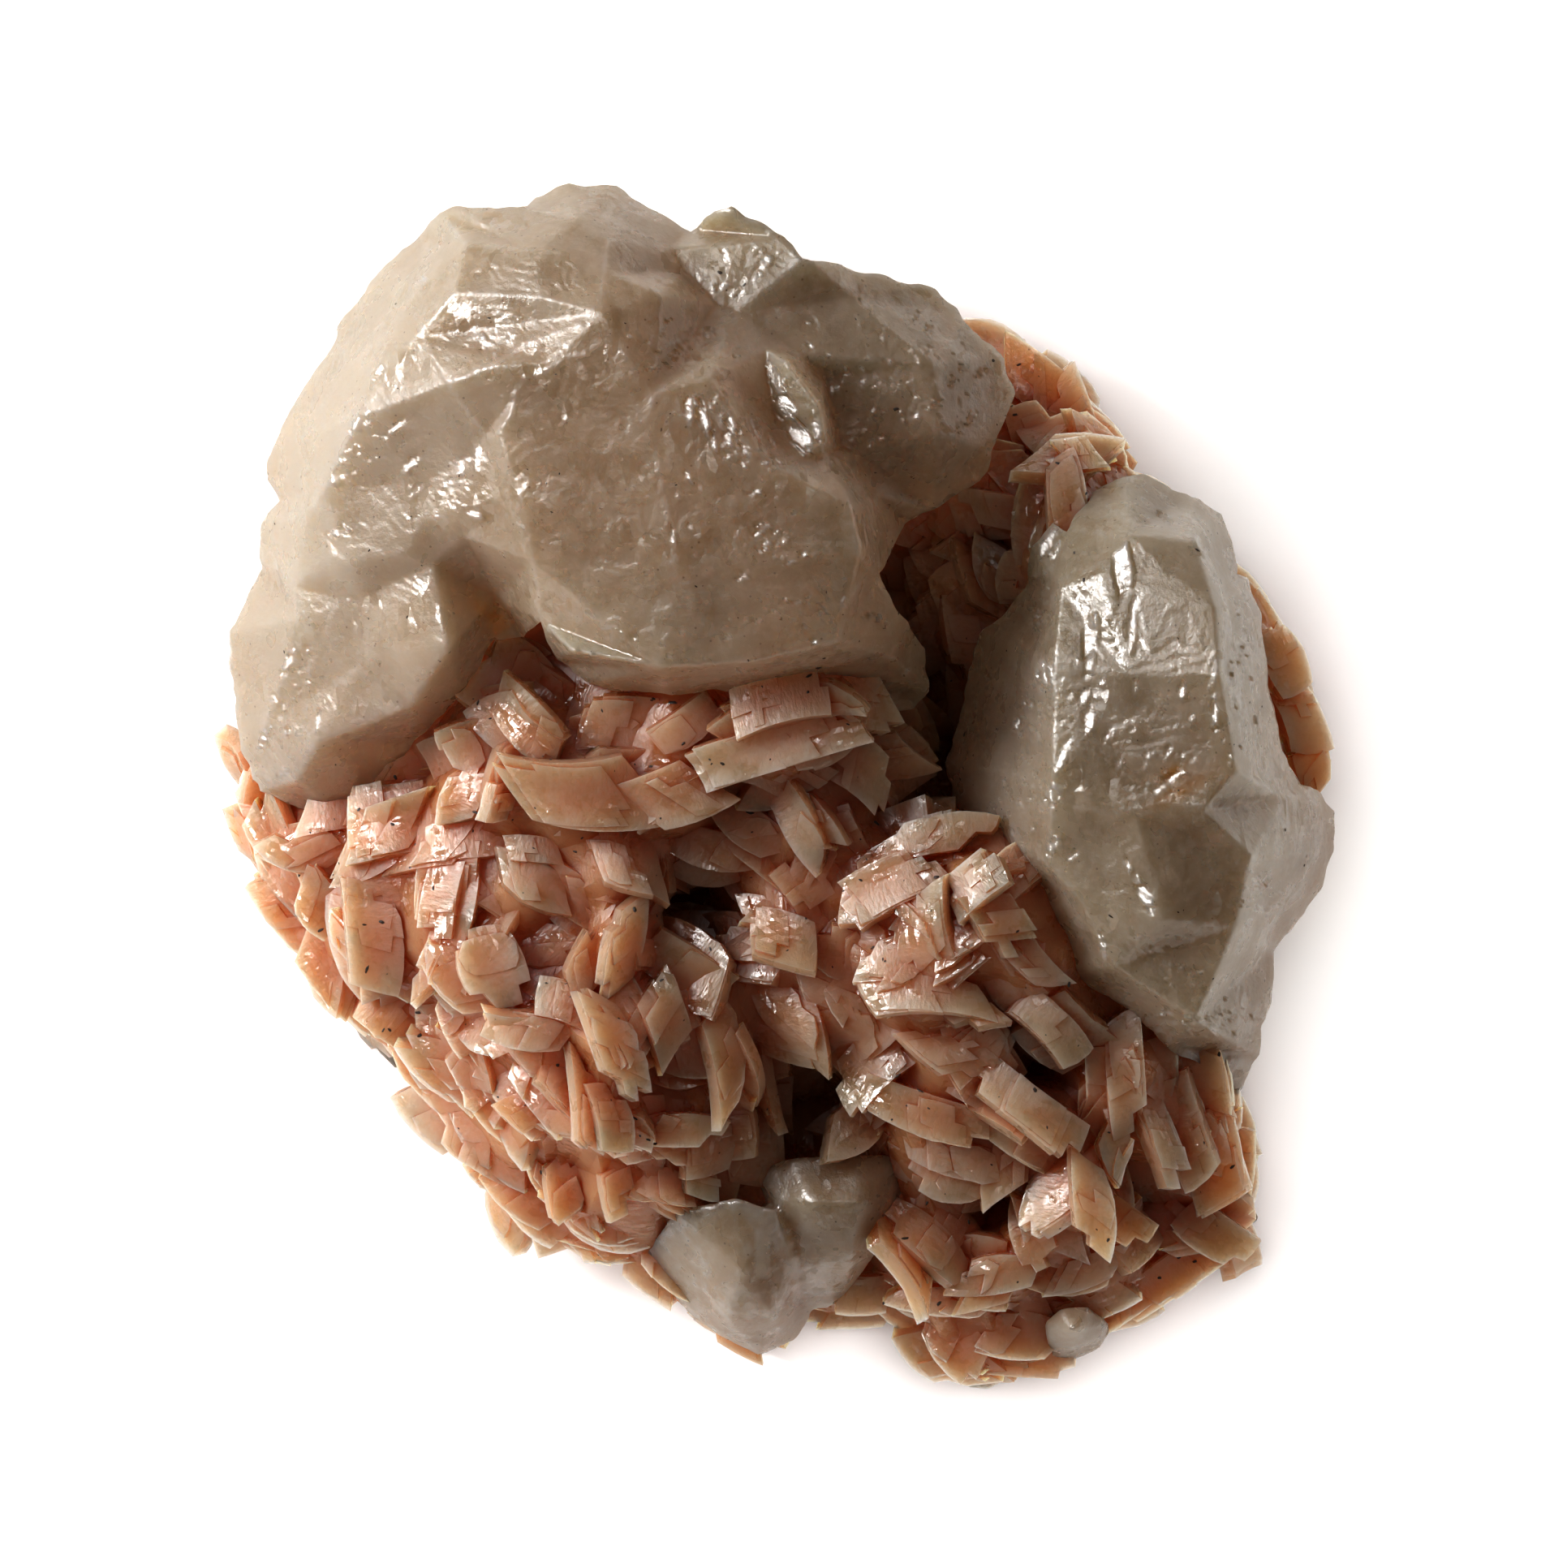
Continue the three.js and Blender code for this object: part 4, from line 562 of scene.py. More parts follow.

# Glinting flakes on the calcites, painted whiter as painted glints: x, y, length, width, heading
FLAKES = [
    # right calcites
    (19.5, 17.8, 2.2, 1.2, 80), (20.2, 17.2, 1.6, 0.5, 80), (25.1, 15.8, 3.6, 1.6, 95),
    (25.8, 11.6, 4.2, 0.6, 88), (22.7, 10.9, 3.2, 1.3, 85), (22.6, 8.8, 1.8, 0.8, 80),
    (19.3, 8.2, 1.9, 1.3, 120), (17.3, 4.5, 1.1, 0.7, 70), (20.6, 2, 2.8, 0.8, 74),
    (19.9, -0.9, 1.9, 1.1, 60), (31.8, 8.2, 2.6, 0.6, 80), (31.9, 5.2, 2.4, 0.5, 92),
    (29.5, 6.8, 1.2, 0.6, 100), (30.2, 4.9, 0.8, 0.4, 90), (26, 7.1, 1.3, 0.4, 95),
    (28.4, 2.2, 1.3, 0.4, 80), (24.7, 1.3, 1.1, 0.5, 75), (26.7, 1.3, 1, 0.4, 80),
    (23.6, 7.6, 0.9, 0.4, 80), (24.1, 3.6, 1.4, 0.7, 60), (22.6, 4.6, 1.8, 0.9, 100),
    (22.2, 6.4, 1.3, 0.8, 80), (26.7, -8.2, 2.8, 0.9, -62), (25.5, -6, 1.2, 0.4, -75),
    (23.6, -11.9, 2.1, 0.5, -78), (28.2, 19.7, 1.5, 0.5, -30), (30.9, 17.2, 1.2, 0.5, 15),
    (21.4, -5.4, 1.1, 0.4, 60), (19.9, -4.6, 1.6, 0.6, 65), (34.9, -7.4, 1, 0.4, -60),
    (35.2, -9.2, 0.9, 0.5, -30), (33.6, 12.6, 0.9, 0.4, 80), (34.6, 7.6, 0.8, 0.4, 85),
    (34.9, 4.8, 0.9, 0.4, 85), (29, 0.6, 1.8, 0.7, 25), (27.8, -0.4, 1.2, 0.6, 20),
    # etched part of the centre block
    (-2.2, 26.3, 1.9, 0.9, -50), (-3.9, 26.6, 1.4, 0.7, -55), (-4.1, 25.5, 1.3, 0.5, -50),
    (-2.8, 24.7, 1.3, 0.5, -50), (-1.4, 24.6, 1.5, 0.5, -50), (-0.9, 25.4, 1.2, 0.4, -55),
    (-7, 27.6, 2, 0.7, -75), (-5.9, 27.1, 2.6, 0.8, -68), (-5.2, 25.4, 1.6, 0.4, -65),
    (-3, 23.6, 0.9, 0.4, -50), (-0.4, 23.9, 0.9, 0.4, -50), (-8.2, 18.4, 1.7, 0.4, -78),
    (-7.9, 21.4, 0.9, 0.3, -60), (-7.1, 22.8, 1.2, 0.3, -50), (-1.6, 18.8, 1.5, 0.4, 30),
    (-1.3, 17.8, 0.8, 0.4, 10), (-2.2, 21.5, 1, 0.3, 15), (0.5, 16.4, 0.9, 0.3, 20),
    (-3.1, 15.2, 1, 0.4, 10), (-3.2, 8.4, 0.9, 0.5, -20), (-4.1, 10.8, 0.7, 0.4, 30),
    (-12.9, 11.6, 1.1, 0.3, 15), (-6.9, 19, 0.7, 0.3, -60), (-6.2, 22, 0.6, 0.3, -60),
    # lens, with stripes across it
    (-0.6, 30, 2.6, 1.1, -62), (0.2, 27.9, 2.4, 1.4, -60), (1.2, 25.8, 2.4, 1.6, -55),
    (2.4, 26.4, 2, 0.6, -75), (3.2, 24.2, 1.6, 0.4, -65), (1.5, 24.6, 1, 0.6, 20),
    # left slab, middle crystal and top crystal
    (-31.4, 26.6, 1.4, 1, 60), (-33, 22.6, 1.4, 0.9, 50), (-27.6, 23.6, 1.6, 0.6, 60),
    (-28.6, 26.4, 1.6, 0.5, 55), (-27.2, 21.6, 1.4, 0.5, 60), (-23.7, 23.5, 1.7, 0.8, 70),
    (-24.8, 22.2, 1.1, 0.5, 40), (-22.9, 20, 1.4, 0.7, -20), (-22.2, 32.6, 1.4, 0.6, 100),
    (-21.4, 31.6, 0.7, 0.4, 70), (-26.8, 37, 1.2, 0.6, 60), (-24.5, 38, 1.3, 0.4, 60),
    (-20.5, 34.6, 0.9, 0.4, 40), (-30, 30.4, 1.2, 0.6, 60), (-19.5, 19.2, 0.9, 0.3, -40),
    (-32.8, 18.6, 1.4, 0.8, 20), (-38.4, 3.4, 1.6, 0.7, 70), (-36.6, 9, 2.4, 0.5, 65),
    (-34.4, 4.6, 1.8, 0.4, 80), (-37, 0.8, 1, 0.5, 40),
    # rhomb and the broad crystal
    (-1.4, 38.5, 1.4, 0.8, 50), (-4.5, 36.8, 1, 0.6, 30), (-2.6, 37.6, 0.8, 0.3, 40),
    (8.9, 25.2, 0.9, 0.4, 60), (6, 35.5, 1, 0.4, -30), (7.4, 33.6, 0.8, 0.3, 70), (5.8, 29.6, 0.9, 0.3, 80),
    (9.8, 34.6, 0.9, 0.3, 60), (10.6, 32, 0.8, 0.3, 60), (8.4, 30.6, 0.7, 0.3, 60),
    (12.4, 29.6, 0.8, 0.4, 50), (13.8, 27, 1.2, 0.5, 60), (11.6, 24.4, 1, 0.4, 55),
    (7.6, 23.6, 0.8, 0.3, 60), (14.6, 30.4, 1.1, 0.5, 50), (9.4, 27.8, 0.7, 0.3, 60),
    (7, 12.2, 0.8, 0.4, 60), (9, 8.2, 0.9, 0.3, 50),
]

# Etched places with many tiny flakes, each painted whiter as a painted glint: x, y, half length, half width,
# heading, number of flakes
ETCHED = [
    (-3.8, 25.6, 4, 2, -50, 60), (9, 29, 6, 4.5, -30, 90), (-2, 19, 4, 3, 20, 40), (22.5, 5, 3, 4, 80, 50),
    (18.5, 2, 8, 2.2, 85, 80), (30, -17.5, 4.5, 1.2, 0, 60), (28, -13, 2, 4, 60, 40),
    (35, -8, 1.5, 3, 30, 30), (28, 3, 4, 4, 80, 40), (33.6, 8, 7, 1, 85, 50), (-31, 25, 6, 1.6, 62, 60),
    (-22, 33, 4, 3, 30, 50), (-24, 22, 3, 2.5, 40, 30), (-8, 32, 4, 2.5, 10, 30), (-12, 11, 6, 2.4, 0, 30),
    (2, 12, 5, 2.4, 10, 40), (-37, 5, 7, 1.4, 70, 40), (-3, 38, 3.5, 2, 45, 30), (20, 14, 3, 2, 60, 40),
]

# Milky veils and one patch of painted light: x, y, half length, half width, heading, whiteness below 0 where
# the crystal is clear and painted dark as shade seen through it
VEILS_AND_PAINTED_LIGHT = [
    (28.6, 19.4, 2.4, 1.2, -30, 0.5), (29.4, 0.2, 2.6, 0.9, 35, 0.6), (23, 5.2, 2.4, 2.6, 80, 0.25),
    (19.6, 8, 2, 1.4, 10, 0.4), (14.4, 29.2, 4, 1.3, 70, 0.35), (12.6, 26.6, 2.2, 1.4, 60, 0.25),
    (-23.8, 23.4, 1.8, 1.2, 60, 0.45), (-31.4, 26.4, 3, 1.4, 62, 0.4), (-5, 26.2, 3.4, 2, -50, 0.18),
    (-3, 38.6, 4, 2.6, 45, -0.06), (-1, 19.4, 2.6, 1.6, 30, 0.15), (-13.5, 13.5, 6, 3, 0, 0.1),
    (29, 12.6, 3.4, 4.4, 90, 0.06), (33.4, -4, 1.8, 2.6, 50, 0.05), (38, -4.6, 2.2, 4.6, 80, -0.18),
    (-4, 29.8, 4.2, 1.3, -55, -0.35), (1.6, 33.4, 3.4, 3, -40, -0.2), (5.8, 26.5, 3.6, 2, 80, -0.2),
    (30.4, -5, 3.6, 3, 20, -0.08), (7, 9, 2.6, 2.4, 0, -0.25), (-22, 12, 2.4, 2.4, 0, -0.1),
    # The first patch here, at 17.4, 3, is painted light on the shaded left side of the right calcites
    (17.4, 3, 8, 2.6, 85, 0.35), (-22.4, 19.4, 3, 3, 0, -0.12), (-20.7, 35, 4, 3, 0, -0.12),
    (-24.3, 27.9, 2.6, 2.6, 0, 0.2), (-9.9, 15.5, 8, 8, 0, -0.1),
]

# Ochre stains: x, y, half length, half width, heading
STAINS = [(-21.6, 12.4, 2.6, 1.1, -40), (29.6, -0.4, 2.4, 0.6, 30), (28.8, 0.8, 1.2, 0.6, 30)]

# The smaller calcites: the corners of each crystal
LOWER_CALCITES = [
    # pale left crystal
    [(-10.5, -34.5, 9.5), (-8.5, -36.8, 8), (-7.3, -39.2, 7), (-5, -40.9, 7), (-1.8, -42.3, 6),
     (1, -41, 6), (2.1, -39.3, 7), (1, -36.6, 12), (0.8, -35, 15.5), (-0.5, -31.5, 18.5),
     (-3.5, -30.6, 18.5), (-8, -31.5, 16), (-3, -36, 17), (-4, -39, 13.5), (-1, -39, 13.5),
     (-7, -36, 2), (-3, -40, 2), (1, -39, 2), (-2, -32, 4), (-7, -33, 4)],
    # dark right crystal
    [(-2.2, -28.6, 15), (0.5, -27.6, 17), (6, -27.3, 17), (8.8, -27.3, 15), (9.9, -28.6, 13),
     (8, -31.8, 15), (7.7, -34, 13), (4.5, -38, 9), (3.2, -38.9, 7), (1.6, -38.8, 8), (1, -36, 14),
     (-0.4, -31, 17), (2, -31, 19), (5.5, -31, 19), (5, -35, 15.5), (0, -29, 3), (8, -29, 3),
     (3, -37, 2), (0, -34, 3), (6, -34, 3)],
]

SMALL_CALCITE = [
    [(19.2, -39.8, 11), (19.3, -41, 10), (20.5, -38.8, 12), (22.5, -38.6, 12), (24, -39.8, 10),
     (24.3, -40.4, 8), (23.5, -41.8, 7), (21.5, -42.6, 6), (19.8, -42.5, 7), (21.5, -40.3, 13.5),
     (20, -39.5, 3), (23, -39.5, 3), (22.5, -41.5, 2.5), (20, -41.8, 2.5)],
]

# Bright cleavage faces on the lower calcites, glossier and painted whiter as painted glints: x, y, half
# length, half width, heading
BRIGHT_FACES = [(-1.5, -34.7, 2, 0.6, 88), (0, -34.3, 2.3, 0.7, -68)]

# The larger specks of dust: x, y
DUST = [
    (-28.7, 0.5), (-28.9, -3), (-31.4, -1.9), (-25.9, -7.7), (-35.8, -6.7), (-29.7, -10.2), (-31, -10.4),
    (-30.8, -13.7), (-34.2, -10.8), (-22.8, -2.1), (-17.2, 1.8), (-22.6, 6), (-15.4, -5), (-7.4, 3),
    (-4.5, 1.5), (-9.6, 6.3), (-8.2, 6), (-2.5, -2.1), (-9.8, 1.3), (-11, -9.3), (-9, -14.5), (-5.4, -12.2),
    (11.3, -6.9), (5.7, -7.1), (7.5, -13.1), (1.8, 6.8), (1.9, 8), (2.6, 8.6), (3, 9.3), (6.9, -2.9),
    (13.4, 3.7), (6.6, -12.1), (17.3, -10.9), (24.2, -9.8), (21.1, -14.8), (37.1, -3.4), (38.5, -6),
    (19.4, 6.8), (-27, -16.9), (-29.6, -18.2), (-29.1, -18.2), (-26.9, -18.6), (-17.9, -28.7),
    (-16.7, -20.8), (8.4, -21.6), (10.1, -22.7), (8, -24.8), (10.6, -31), (9, -33.6), (11.5, -38.4),
    (7.4, -38.4), (-10, -26.3), (-10.6, -26), (-9.5, -26.6), (-11, -24.7), (13.7, -32.4), (32.2, -20),
    (24, -33.7), (18.6, -22.6), (33.2, -28.3), (29.2, -35), (30.4, -35.3), (27.8, -36.5), (18.7, -44),
    (17.1, 27.3), (22.4, 21.5), (20.3, 23.7), (21.5, 17.1), (22.2, 15.1), (17.4, 31), (15.5, 31.3),
    (30.6, 17.3), (8.3, 27.7), (-4.7, 37.8), (-2.9, 36.9),
]


# Arrays
def hashed(lattice, seed):
    """A repeatable number from 0 to 1 for each row of whole numbers."""
    x, y, z = (lattice[..., axis] * prime for axis, prime in enumerate(HASH_PRIMES))
    mixed = x ^ y ^ z ^ seed * HASH_SEED
    mixed = (mixed ^ (mixed >> 13)) * HASH_MIX
    return ((mixed ^ (mixed >> 16)) & HASH_MOST) / HASH_MOST


def noise(points, size, seed):
    """Smooth noise from -1 to 1, with lumps of the given size."""
    scaled = points / size
    low = np.floor(scaled).astype(np.int64)
    part = scaled - low
    part = part * part * (3 - 2 * part)
    total = np.zeros(len(points))
    for corner in np.ndindex(2, 2, 2):
        offset = np.array(corner)
        weight = np.prod(np.where(offset == 1, part, 1 - part), axis=1)
        total += weight * hashed(low + offset, seed)
    return 2 * total - 1


def layered(points, layers):
    """The sum of several noises, each with its strength, size and seed."""
    return sum(strength * noise(points, size, seed) for strength, size, seed in layers)


def oval(xs, ys, x, y, half_length, half_width, heading):
    """How far each place lies along and across a tilted oval, 1 on its edge."""
    turn = math.radians(heading)
    along = (xs - x) * math.cos(turn) + (ys - y) * math.sin(turn)
    across = (ys - y) * math.cos(turn) - (xs - x) * math.sin(turn)
    return along / half_length, across / half_width


# Meshes and objects
def mesh_from(name, verts, faces):
    mesh = bpy.data.meshes.new(name)
    mesh.from_pydata([tuple(v) for v in verts], [], faces)
    return mesh


def mesh_of(bm, name):
    """Turns a bmesh into a mesh and frees it."""
    mesh = bpy.data.meshes.new(name)
    bm.to_mesh(mesh)
    bm.free()
    return mesh


def vertex_places(mesh):
    points = np.empty(len(mesh.vertices) * 3)
    mesh.vertices.foreach_get("co", points)
    return points.reshape(-1, 3)


def move_vertices(mesh, points):
    mesh.vertices.foreach_set("co", points.ravel())
    mesh.update()


def make_smooth(mesh):
    mesh.polygons.foreach_set("use_smooth", [True] * len(mesh.polygons))


def keep_values(mesh, name, values):
    """Keeps a value for each vertex, for the material to read."""
    layer = mesh.attributes.new(name, "FLOAT", "POINT")
    layer.data.foreach_set("value", np.asarray(values, dtype=np.float32))


def tree_of(mesh):
    """A search tree for rays that meet the mesh."""
    bm = bmesh.new()
    bm.from_mesh(mesh)
    tree = BVHTree.FromBMesh(bm)
    bm.free()
    return tree


def placed(name, data):
    """A new object in the scene."""
    obj = bpy.data.objects.new(name, data)
    bpy.context.scene.collection.objects.link(obj)
    return obj


def evaluated(obj):
    """The mesh that an object's modifiers make. The object is used up."""
    depsgraph = bpy.context.evaluated_depsgraph_get()
    mesh = bpy.data.meshes.new_from_object(obj.evaluated_get(depsgraph))
    bpy.data.objects.remove(obj)
    return mesh


def united(name, base, others):
    """One closed mesh from several that overlap."""
    collection = bpy.data.collections.new(name + "_parts")
    for mesh in others:
        collection.objects.link(bpy.data.objects.new(mesh.name, mesh))
    obj = placed(name, base)
    join = obj.modifiers.new("join", "BOOLEAN")
    join.operation = "UNION"
    join.operand_type = "COLLECTION"
    join.collection = collection
    join.solver = "MANIFOLD"
    mesh = evaluated(obj)
    for part in list(collection.objects):
        bpy.data.objects.remove(part)
    bpy.data.collections.remove(collection)
    return mesh


def remeshed(name, mesh, voxel):
    """The same form in small even faces."""
    obj = placed(name, mesh)
    grid = obj.modifiers.new("grid", "REMESH")
    grid.mode = "VOXEL"
    grid.voxel_size = voxel
    return evaluated(obj)


# The crust
def crust_marks():
    return np.array(CRUST_HEIGHTS + [row[:3] for row in BLADES], float)


def crust_height(points, marks):
    """The crust's height at each point, from the marks near it."""
    gaps = points[:, None, :2] - marks[None, :, :2]
    weights = (np.linalg.norm(gaps, axis=2) + MARK_NEAREST) ** MARK_FALL
    return (weights * marks[:, 2]).sum(axis=1) / weights.sum(axis=1)


def crust_rings(marks):
    """Rings of points from the crust's middle out to its rim, and in again to its base."""
    corners = np.array(CRUST_OUTLINE, float)
    halfway = (corners + np.roll(corners, -1, axis=0)) / 2
    outline = np.stack([corners, halfway], axis=1).reshape(-1, 2)
    rings = []
    for reach in np.linspace(FIRST_RING, RIM_START, CRUST_RINGS):
        spots = outline * reach
        rings.append(np.column_stack([spots, crust_height(spots, marks)]))
    rim = crust_height(outline * RIM_START, marks) * RIM_LEVEL
    inner = rings[-1][:, 2]
    for part in RIM_PARTS:
        reach = RIM_START + (1 - RIM_START) * part
        rings.append(np.column_stack([outline * reach, inner + (rim - inner) * part**RIM_FALL]))
    between = ((1 + WAIST_REACH) / 2, (1 + WAIST_LEVEL) / 2)
    for reach, level in ((1, 1), between, (WAIST_REACH, WAIST_LEVEL), (BASE_REACH, 0)):
        rings.append(np.column_stack([outline * reach, rim * level]))
    return rings


def crust_mesh(marks):
    """The crust under the blades, with a flat cut base."""
    rings = crust_rings(marks)
    count = len(rings[0])
    bumps = np.concatenate(rings[:-1])
    bumps[:, 2] = np.maximum(bumps[:, 2] + layered(bumps, CRUST_LUMPS), CRUST_LOWEST)
    middle = crust_height(np.zeros((1, 2)), marks)[0]
    verts = np.concatenate([[(0, 0, middle)], bumps, rings[-1], [(0, 0, 0)]])
    last = len(verts) - 1
    base = last - count
    faces = []
    for i in range(count):
        next_i = (i + 1) % count
        faces.append((0, 1 + i, 1 + next_i))
        for ring in range(len(rings) - 1):
            inner = 1 + ring * count
            outer = inner + count
            faces.append((inner + i, outer + i, outer + next_i))
            faces.append((inner + i, outer + next_i, inner + next_i))
        faces.append((last, base + next_i, base + i))
    mesh = mesh_from("crust", verts, faces)
    mark(mesh, verts, np.zeros(len(verts)), np.full(len(faces), CRUST_TONE))
    return mesh


# Dolomite blades
def mark(mesh, local, rim, tones):
    """Keeps each corner's place in its own crystal and its nearness to the rim, and a tone for each face."""
    corners = np.empty(len(mesh.loops), dtype=np.int32)
    mesh.loops.foreach_get("vertex_index", corners)
    place = mesh.attributes.new("local", "FLOAT_VECTOR", "CORNER")
    place.data.foreach_set("vector", np.asarray(local, dtype=np.float32)[corners].ravel())
    edge = mesh.attributes.new("rim", "FLOAT", "CORNER")
    edge.data.foreach_set("value", np.asarray(rim, dtype=np.float32)[corners])
    shade = mesh.attributes.new("tone", "FLOAT", "FACE")
    shade.data.foreach_set("value", np.asarray(tones, dtype=np.float32))


def grid_lines(rng, size, step):
    """Uneven lines across a plate, from -1 to 1."""
    count = max(2, round(size / step))
    edges = np.concatenate([[0], np.cumsum(rng.uniform(*CELL_SPREAD, count))])
    return 2 * edges / edges[-1] - 1


def plate_cells(rng, columns, rows):
    """The cells of a plate that are solid, with an empty border and a few notches in the plate's ends."""
    start = np.zeros(rows, dtype=int)
    end = np.full(rows, columns)
    for row in (0, rows - 1):
        start[row] += rng.random() < NOTCH_CHANCE
        end[row] -= rng.random() < NOTCH_CHANCE
    end = np.maximum(end, start + 1)
    solid = np.zeros((rows + 2, columns + 2), dtype=bool)
    for row in range(rows):
        solid[row + 1, start[row] + 1 : end[row] + 1] = True
    return solid


def plate_faces(solid):
    """The faces round the solid cells of a plate, and which of them stand upright."""
    rows, columns = solid.shape[0] - 2, solid.shape[1] - 2

    def at(row, column, layer):
        return (layer * (rows + 1) + row) * (columns + 1) + column

    faces = []
    upright = []
    for row in range(rows):
        for column in range(columns):
            if not solid[row + 1, column + 1]:
                continue
            corners = [(row, column), (row, column + 1), (row + 1, column + 1), (row + 1, column)]
            faces.append(tuple(at(*corner, 1) for corner in corners))
            faces.append(tuple(at(*corner, 0) for corner in reversed(corners)))
            upright += [False, False]
            beside = [(row, column + 1), (row + 1, column + 2), (row + 2, column + 1), (row + 1, column)]
            for neighbour, a, b in zip(beside, corners, corners[1:] + corners[:1]):
                if not solid[neighbour]:
                    faces.append((at(*a, 0), at(*b, 0), at(*b, 1), at(*a, 1)))
                    upright.append(True)
    return faces, np.array(upright)


def plate(rng, length, width, thickness, curve, bend, shape):
    """A bent plate: its corners, their nearness to the rim, its faces, and which of these are sides."""
    lines_x = grid_lines(rng, length, CELL)
    lines_y = grid_lines(rng, width, CELL)
    solid = plate_cells(rng, len(lines_x) - 1, len(lines_y) - 1)
    along, across = np.meshgrid(lines_x, lines_y)
    skew, taper, bow = shape
    x = along * length / 2 * (1 - bow * across**2) + skew * across * width
    y = across * width * (1 - taper * along**2) / 2 + bend * length * along**2
    rise = curve[0] * length * along**2 + curve[1] * width * across**2
    layers = []
    for side in (-0.5, 0.5):
        jitter = rng.normal(0, PLATE_JITTER, rise.shape)
        thin = 1 - PLATE_THINNING * np.maximum(along**2, across**2)
        layers.append(np.stack([x, y, rise + side * thickness * thin + jitter], axis=2).reshape(-1, 3))
    rim = np.tile(np.maximum(np.abs(along), np.abs(across)).ravel(), 2)
    return np.concatenate(layers), rim, *plate_faces(solid)


def terraces(rng, length, width, thickness):
    """Plates a little proud of a blade: place along it, length, width, thickness and shift."""
    plates = []
    for _ in range(max(1, round(length / TERRACE_EVERY))):
        share = rng.uniform(*TERRACE_LENGTH)
        middle = rng.uniform(-0.5, 0.5) * (1 - share) * length
        lift = thickness / 2 * rng.choice([-1, 1]) + rng.uniform(*TERRACE_RISE)
        size = (share * length, width * rng.uniform(*TERRACE_WIDTH), thickness)
        proud = lift - thickness / 2 * np.sign(lift)
        plates.append((middle, *size, np.array([0, rng.normal(0, TERRACE_SHIFT), proud])))
    return plates


def blade_turn(row):
    """How a blade is turned, from its heading, pitch and roll."""
    heading, pitch, roll = row[3:6]
    return Euler([math.radians(a) for a in (roll, -pitch, heading)]).to_matrix()


def blade_meshes(rng, row, name):
    """One thick bent blade, and terraces that stand a little proud of its faces."""
    x, y, z, *_, length, width, thickness = row
    thickness *= BLADE_THICKNESS
    turn = blade_turn(row)
    curve = (
        BLADE_CURVE_ALONG * rng.uniform(*CURVE_SPREAD_ALONG),
        BLADE_CURVE_ACROSS * rng.uniform(*CURVE_SPREAD_ACROSS),
    )
    bend = rng.uniform(-BLADE_BEND, BLADE_BEND)
    shape = [rng.uniform(*span) for span in (BLADE_SKEW, BLADE_TAPER, BLADE_BOW)]
    tone = rng.random()
    offset = rng.uniform(-PATTERN_SHIFT, PATTERN_SHIFT, 3)
    plates = [(0, length, width, thickness, np.zeros(3)), *terraces(rng, length, width, thickness)]
    meshes = []
    for i, (middle, long, wide, thick, shift) in enumerate(plates):
        scale = long / length
        share = 2 * middle / length
        bent = (curve[0] * scale, curve[1])
        verts, rim, faces, upright = plate(rng, long, wide, thick, bent, bend * scale, shape)
        wobble = rng.normal(0, math.radians(TERRACE_TURN), 3) if i else np.zeros(3)
        slope = math.atan(4 * curve[0] * share)
        fan = Euler((wobble[0], -slope + wobble[1], wobble[2])).to_matrix()
        place = np.array([middle, bend * length * share**2, curve[0] * length * share**2]) + shift
        local = verts @ np.array(fan).T + place
        turned = local @ np.array(turn).T + np.array([x, y, z])
        used = sorted({corner for face in faces for corner in face})
        renumber = {old: new for new, old in enumerate(used)}
        faces = [tuple(renumber[c] for c in face) for face in faces]
        mesh = mesh_from(f"{name}_{i}", turned[used], faces)
        # Upright sides take the darker tone as painted shade; the faces keep the blade's random tone
        mark(mesh, local[used] + offset, rim[used], np.where(upright, SIDE_SHADE_TONE, tone))
        meshes.append(mesh)
    return meshes


def inside(point, trees):
    """True if the first surface above the point is seen from within."""
    for tree in trees:
        place, normal, _, _ = tree.ray_cast(Vector(point), UP)
        if place is not None and normal.z > 0:
            return True
    return False


def scattered_blades(rng, crust, trees):
    """Blades all over the crust, nearly parallel to the large one beside them."""
    areas = np.array([p.area for p in crust.polygons])
    centres = np.array([p.center[:] for p in crust.polygons])
    normals = np.array([p.normal[:] for p in crust.polygons])
    free = np.array([not inside(c, trees) and n[2] > STEEPEST for c, n in zip(centres, normals)])
    weights = areas * free
    picks = rng.choice(len(areas), SMALL_COUNT, p=weights / weights.sum())
    large = np.array(BLADES)
    rows = []
    for pick in picks:
        near = large[np.argmin(np.linalg.norm(large[:, :2] - centres[pick][:2], axis=1))]
        beside = blade_turn(near)
        up = Vector(normals[pick]) + beside @ Vector((0, 0, PARALLEL)) + Vector(rng.normal(0, LEAN, 3))
        forward = beside @ Vector((1, 0, 0)) + Vector(rng.normal(0, LEAN, 3))
        across = up.cross(forward).normalized()
        turn = Matrix((across.cross(up).normalized(), across, up.normalized())).transposed()
        length = rng.uniform(*SMALL_LENGTH)
        width = length * rng.uniform(*SMALL_WIDTH)
        thickness = rng.uniform(*SMALL_THICKNESS)
        place = Vector(centres[pick]) + Vector(normals[pick]) * rng.uniform(*SMALL_LIFT)
        roll, pitch, heading = turn.to_euler()
        rows.append((*place, *[math.degrees(a) for a in (heading, -pitch, roll)], length, width, thickness))
    return rows


def dolomite(trees):
    """The crust with every blade on it, in one closed mesh."""
    rng = np.random.default_rng(BLADE_SEED)
    crust = crust_mesh(crust_marks())
    small = scattered_blades(rng, crust, trees)
    meshes = []
    for kind, rows in (("blade", BLADES + SMALL_BLADES), ("small", small)):
        for i, row in enumerate(rows):
            meshes += blade_meshes(rng, row, f"{kind}_{i}")
    mesh = united("dolomite", crust, meshes)
    points = vertex_places(mesh)
    points[:, 2] = np.maximum(points[:, 2], 0)
    move_vertices(mesh, points)
    make_smooth(mesh)
    mesh.set_sharp_from_angle(angle=math.radians(SHARP_ANGLE))
    return mesh


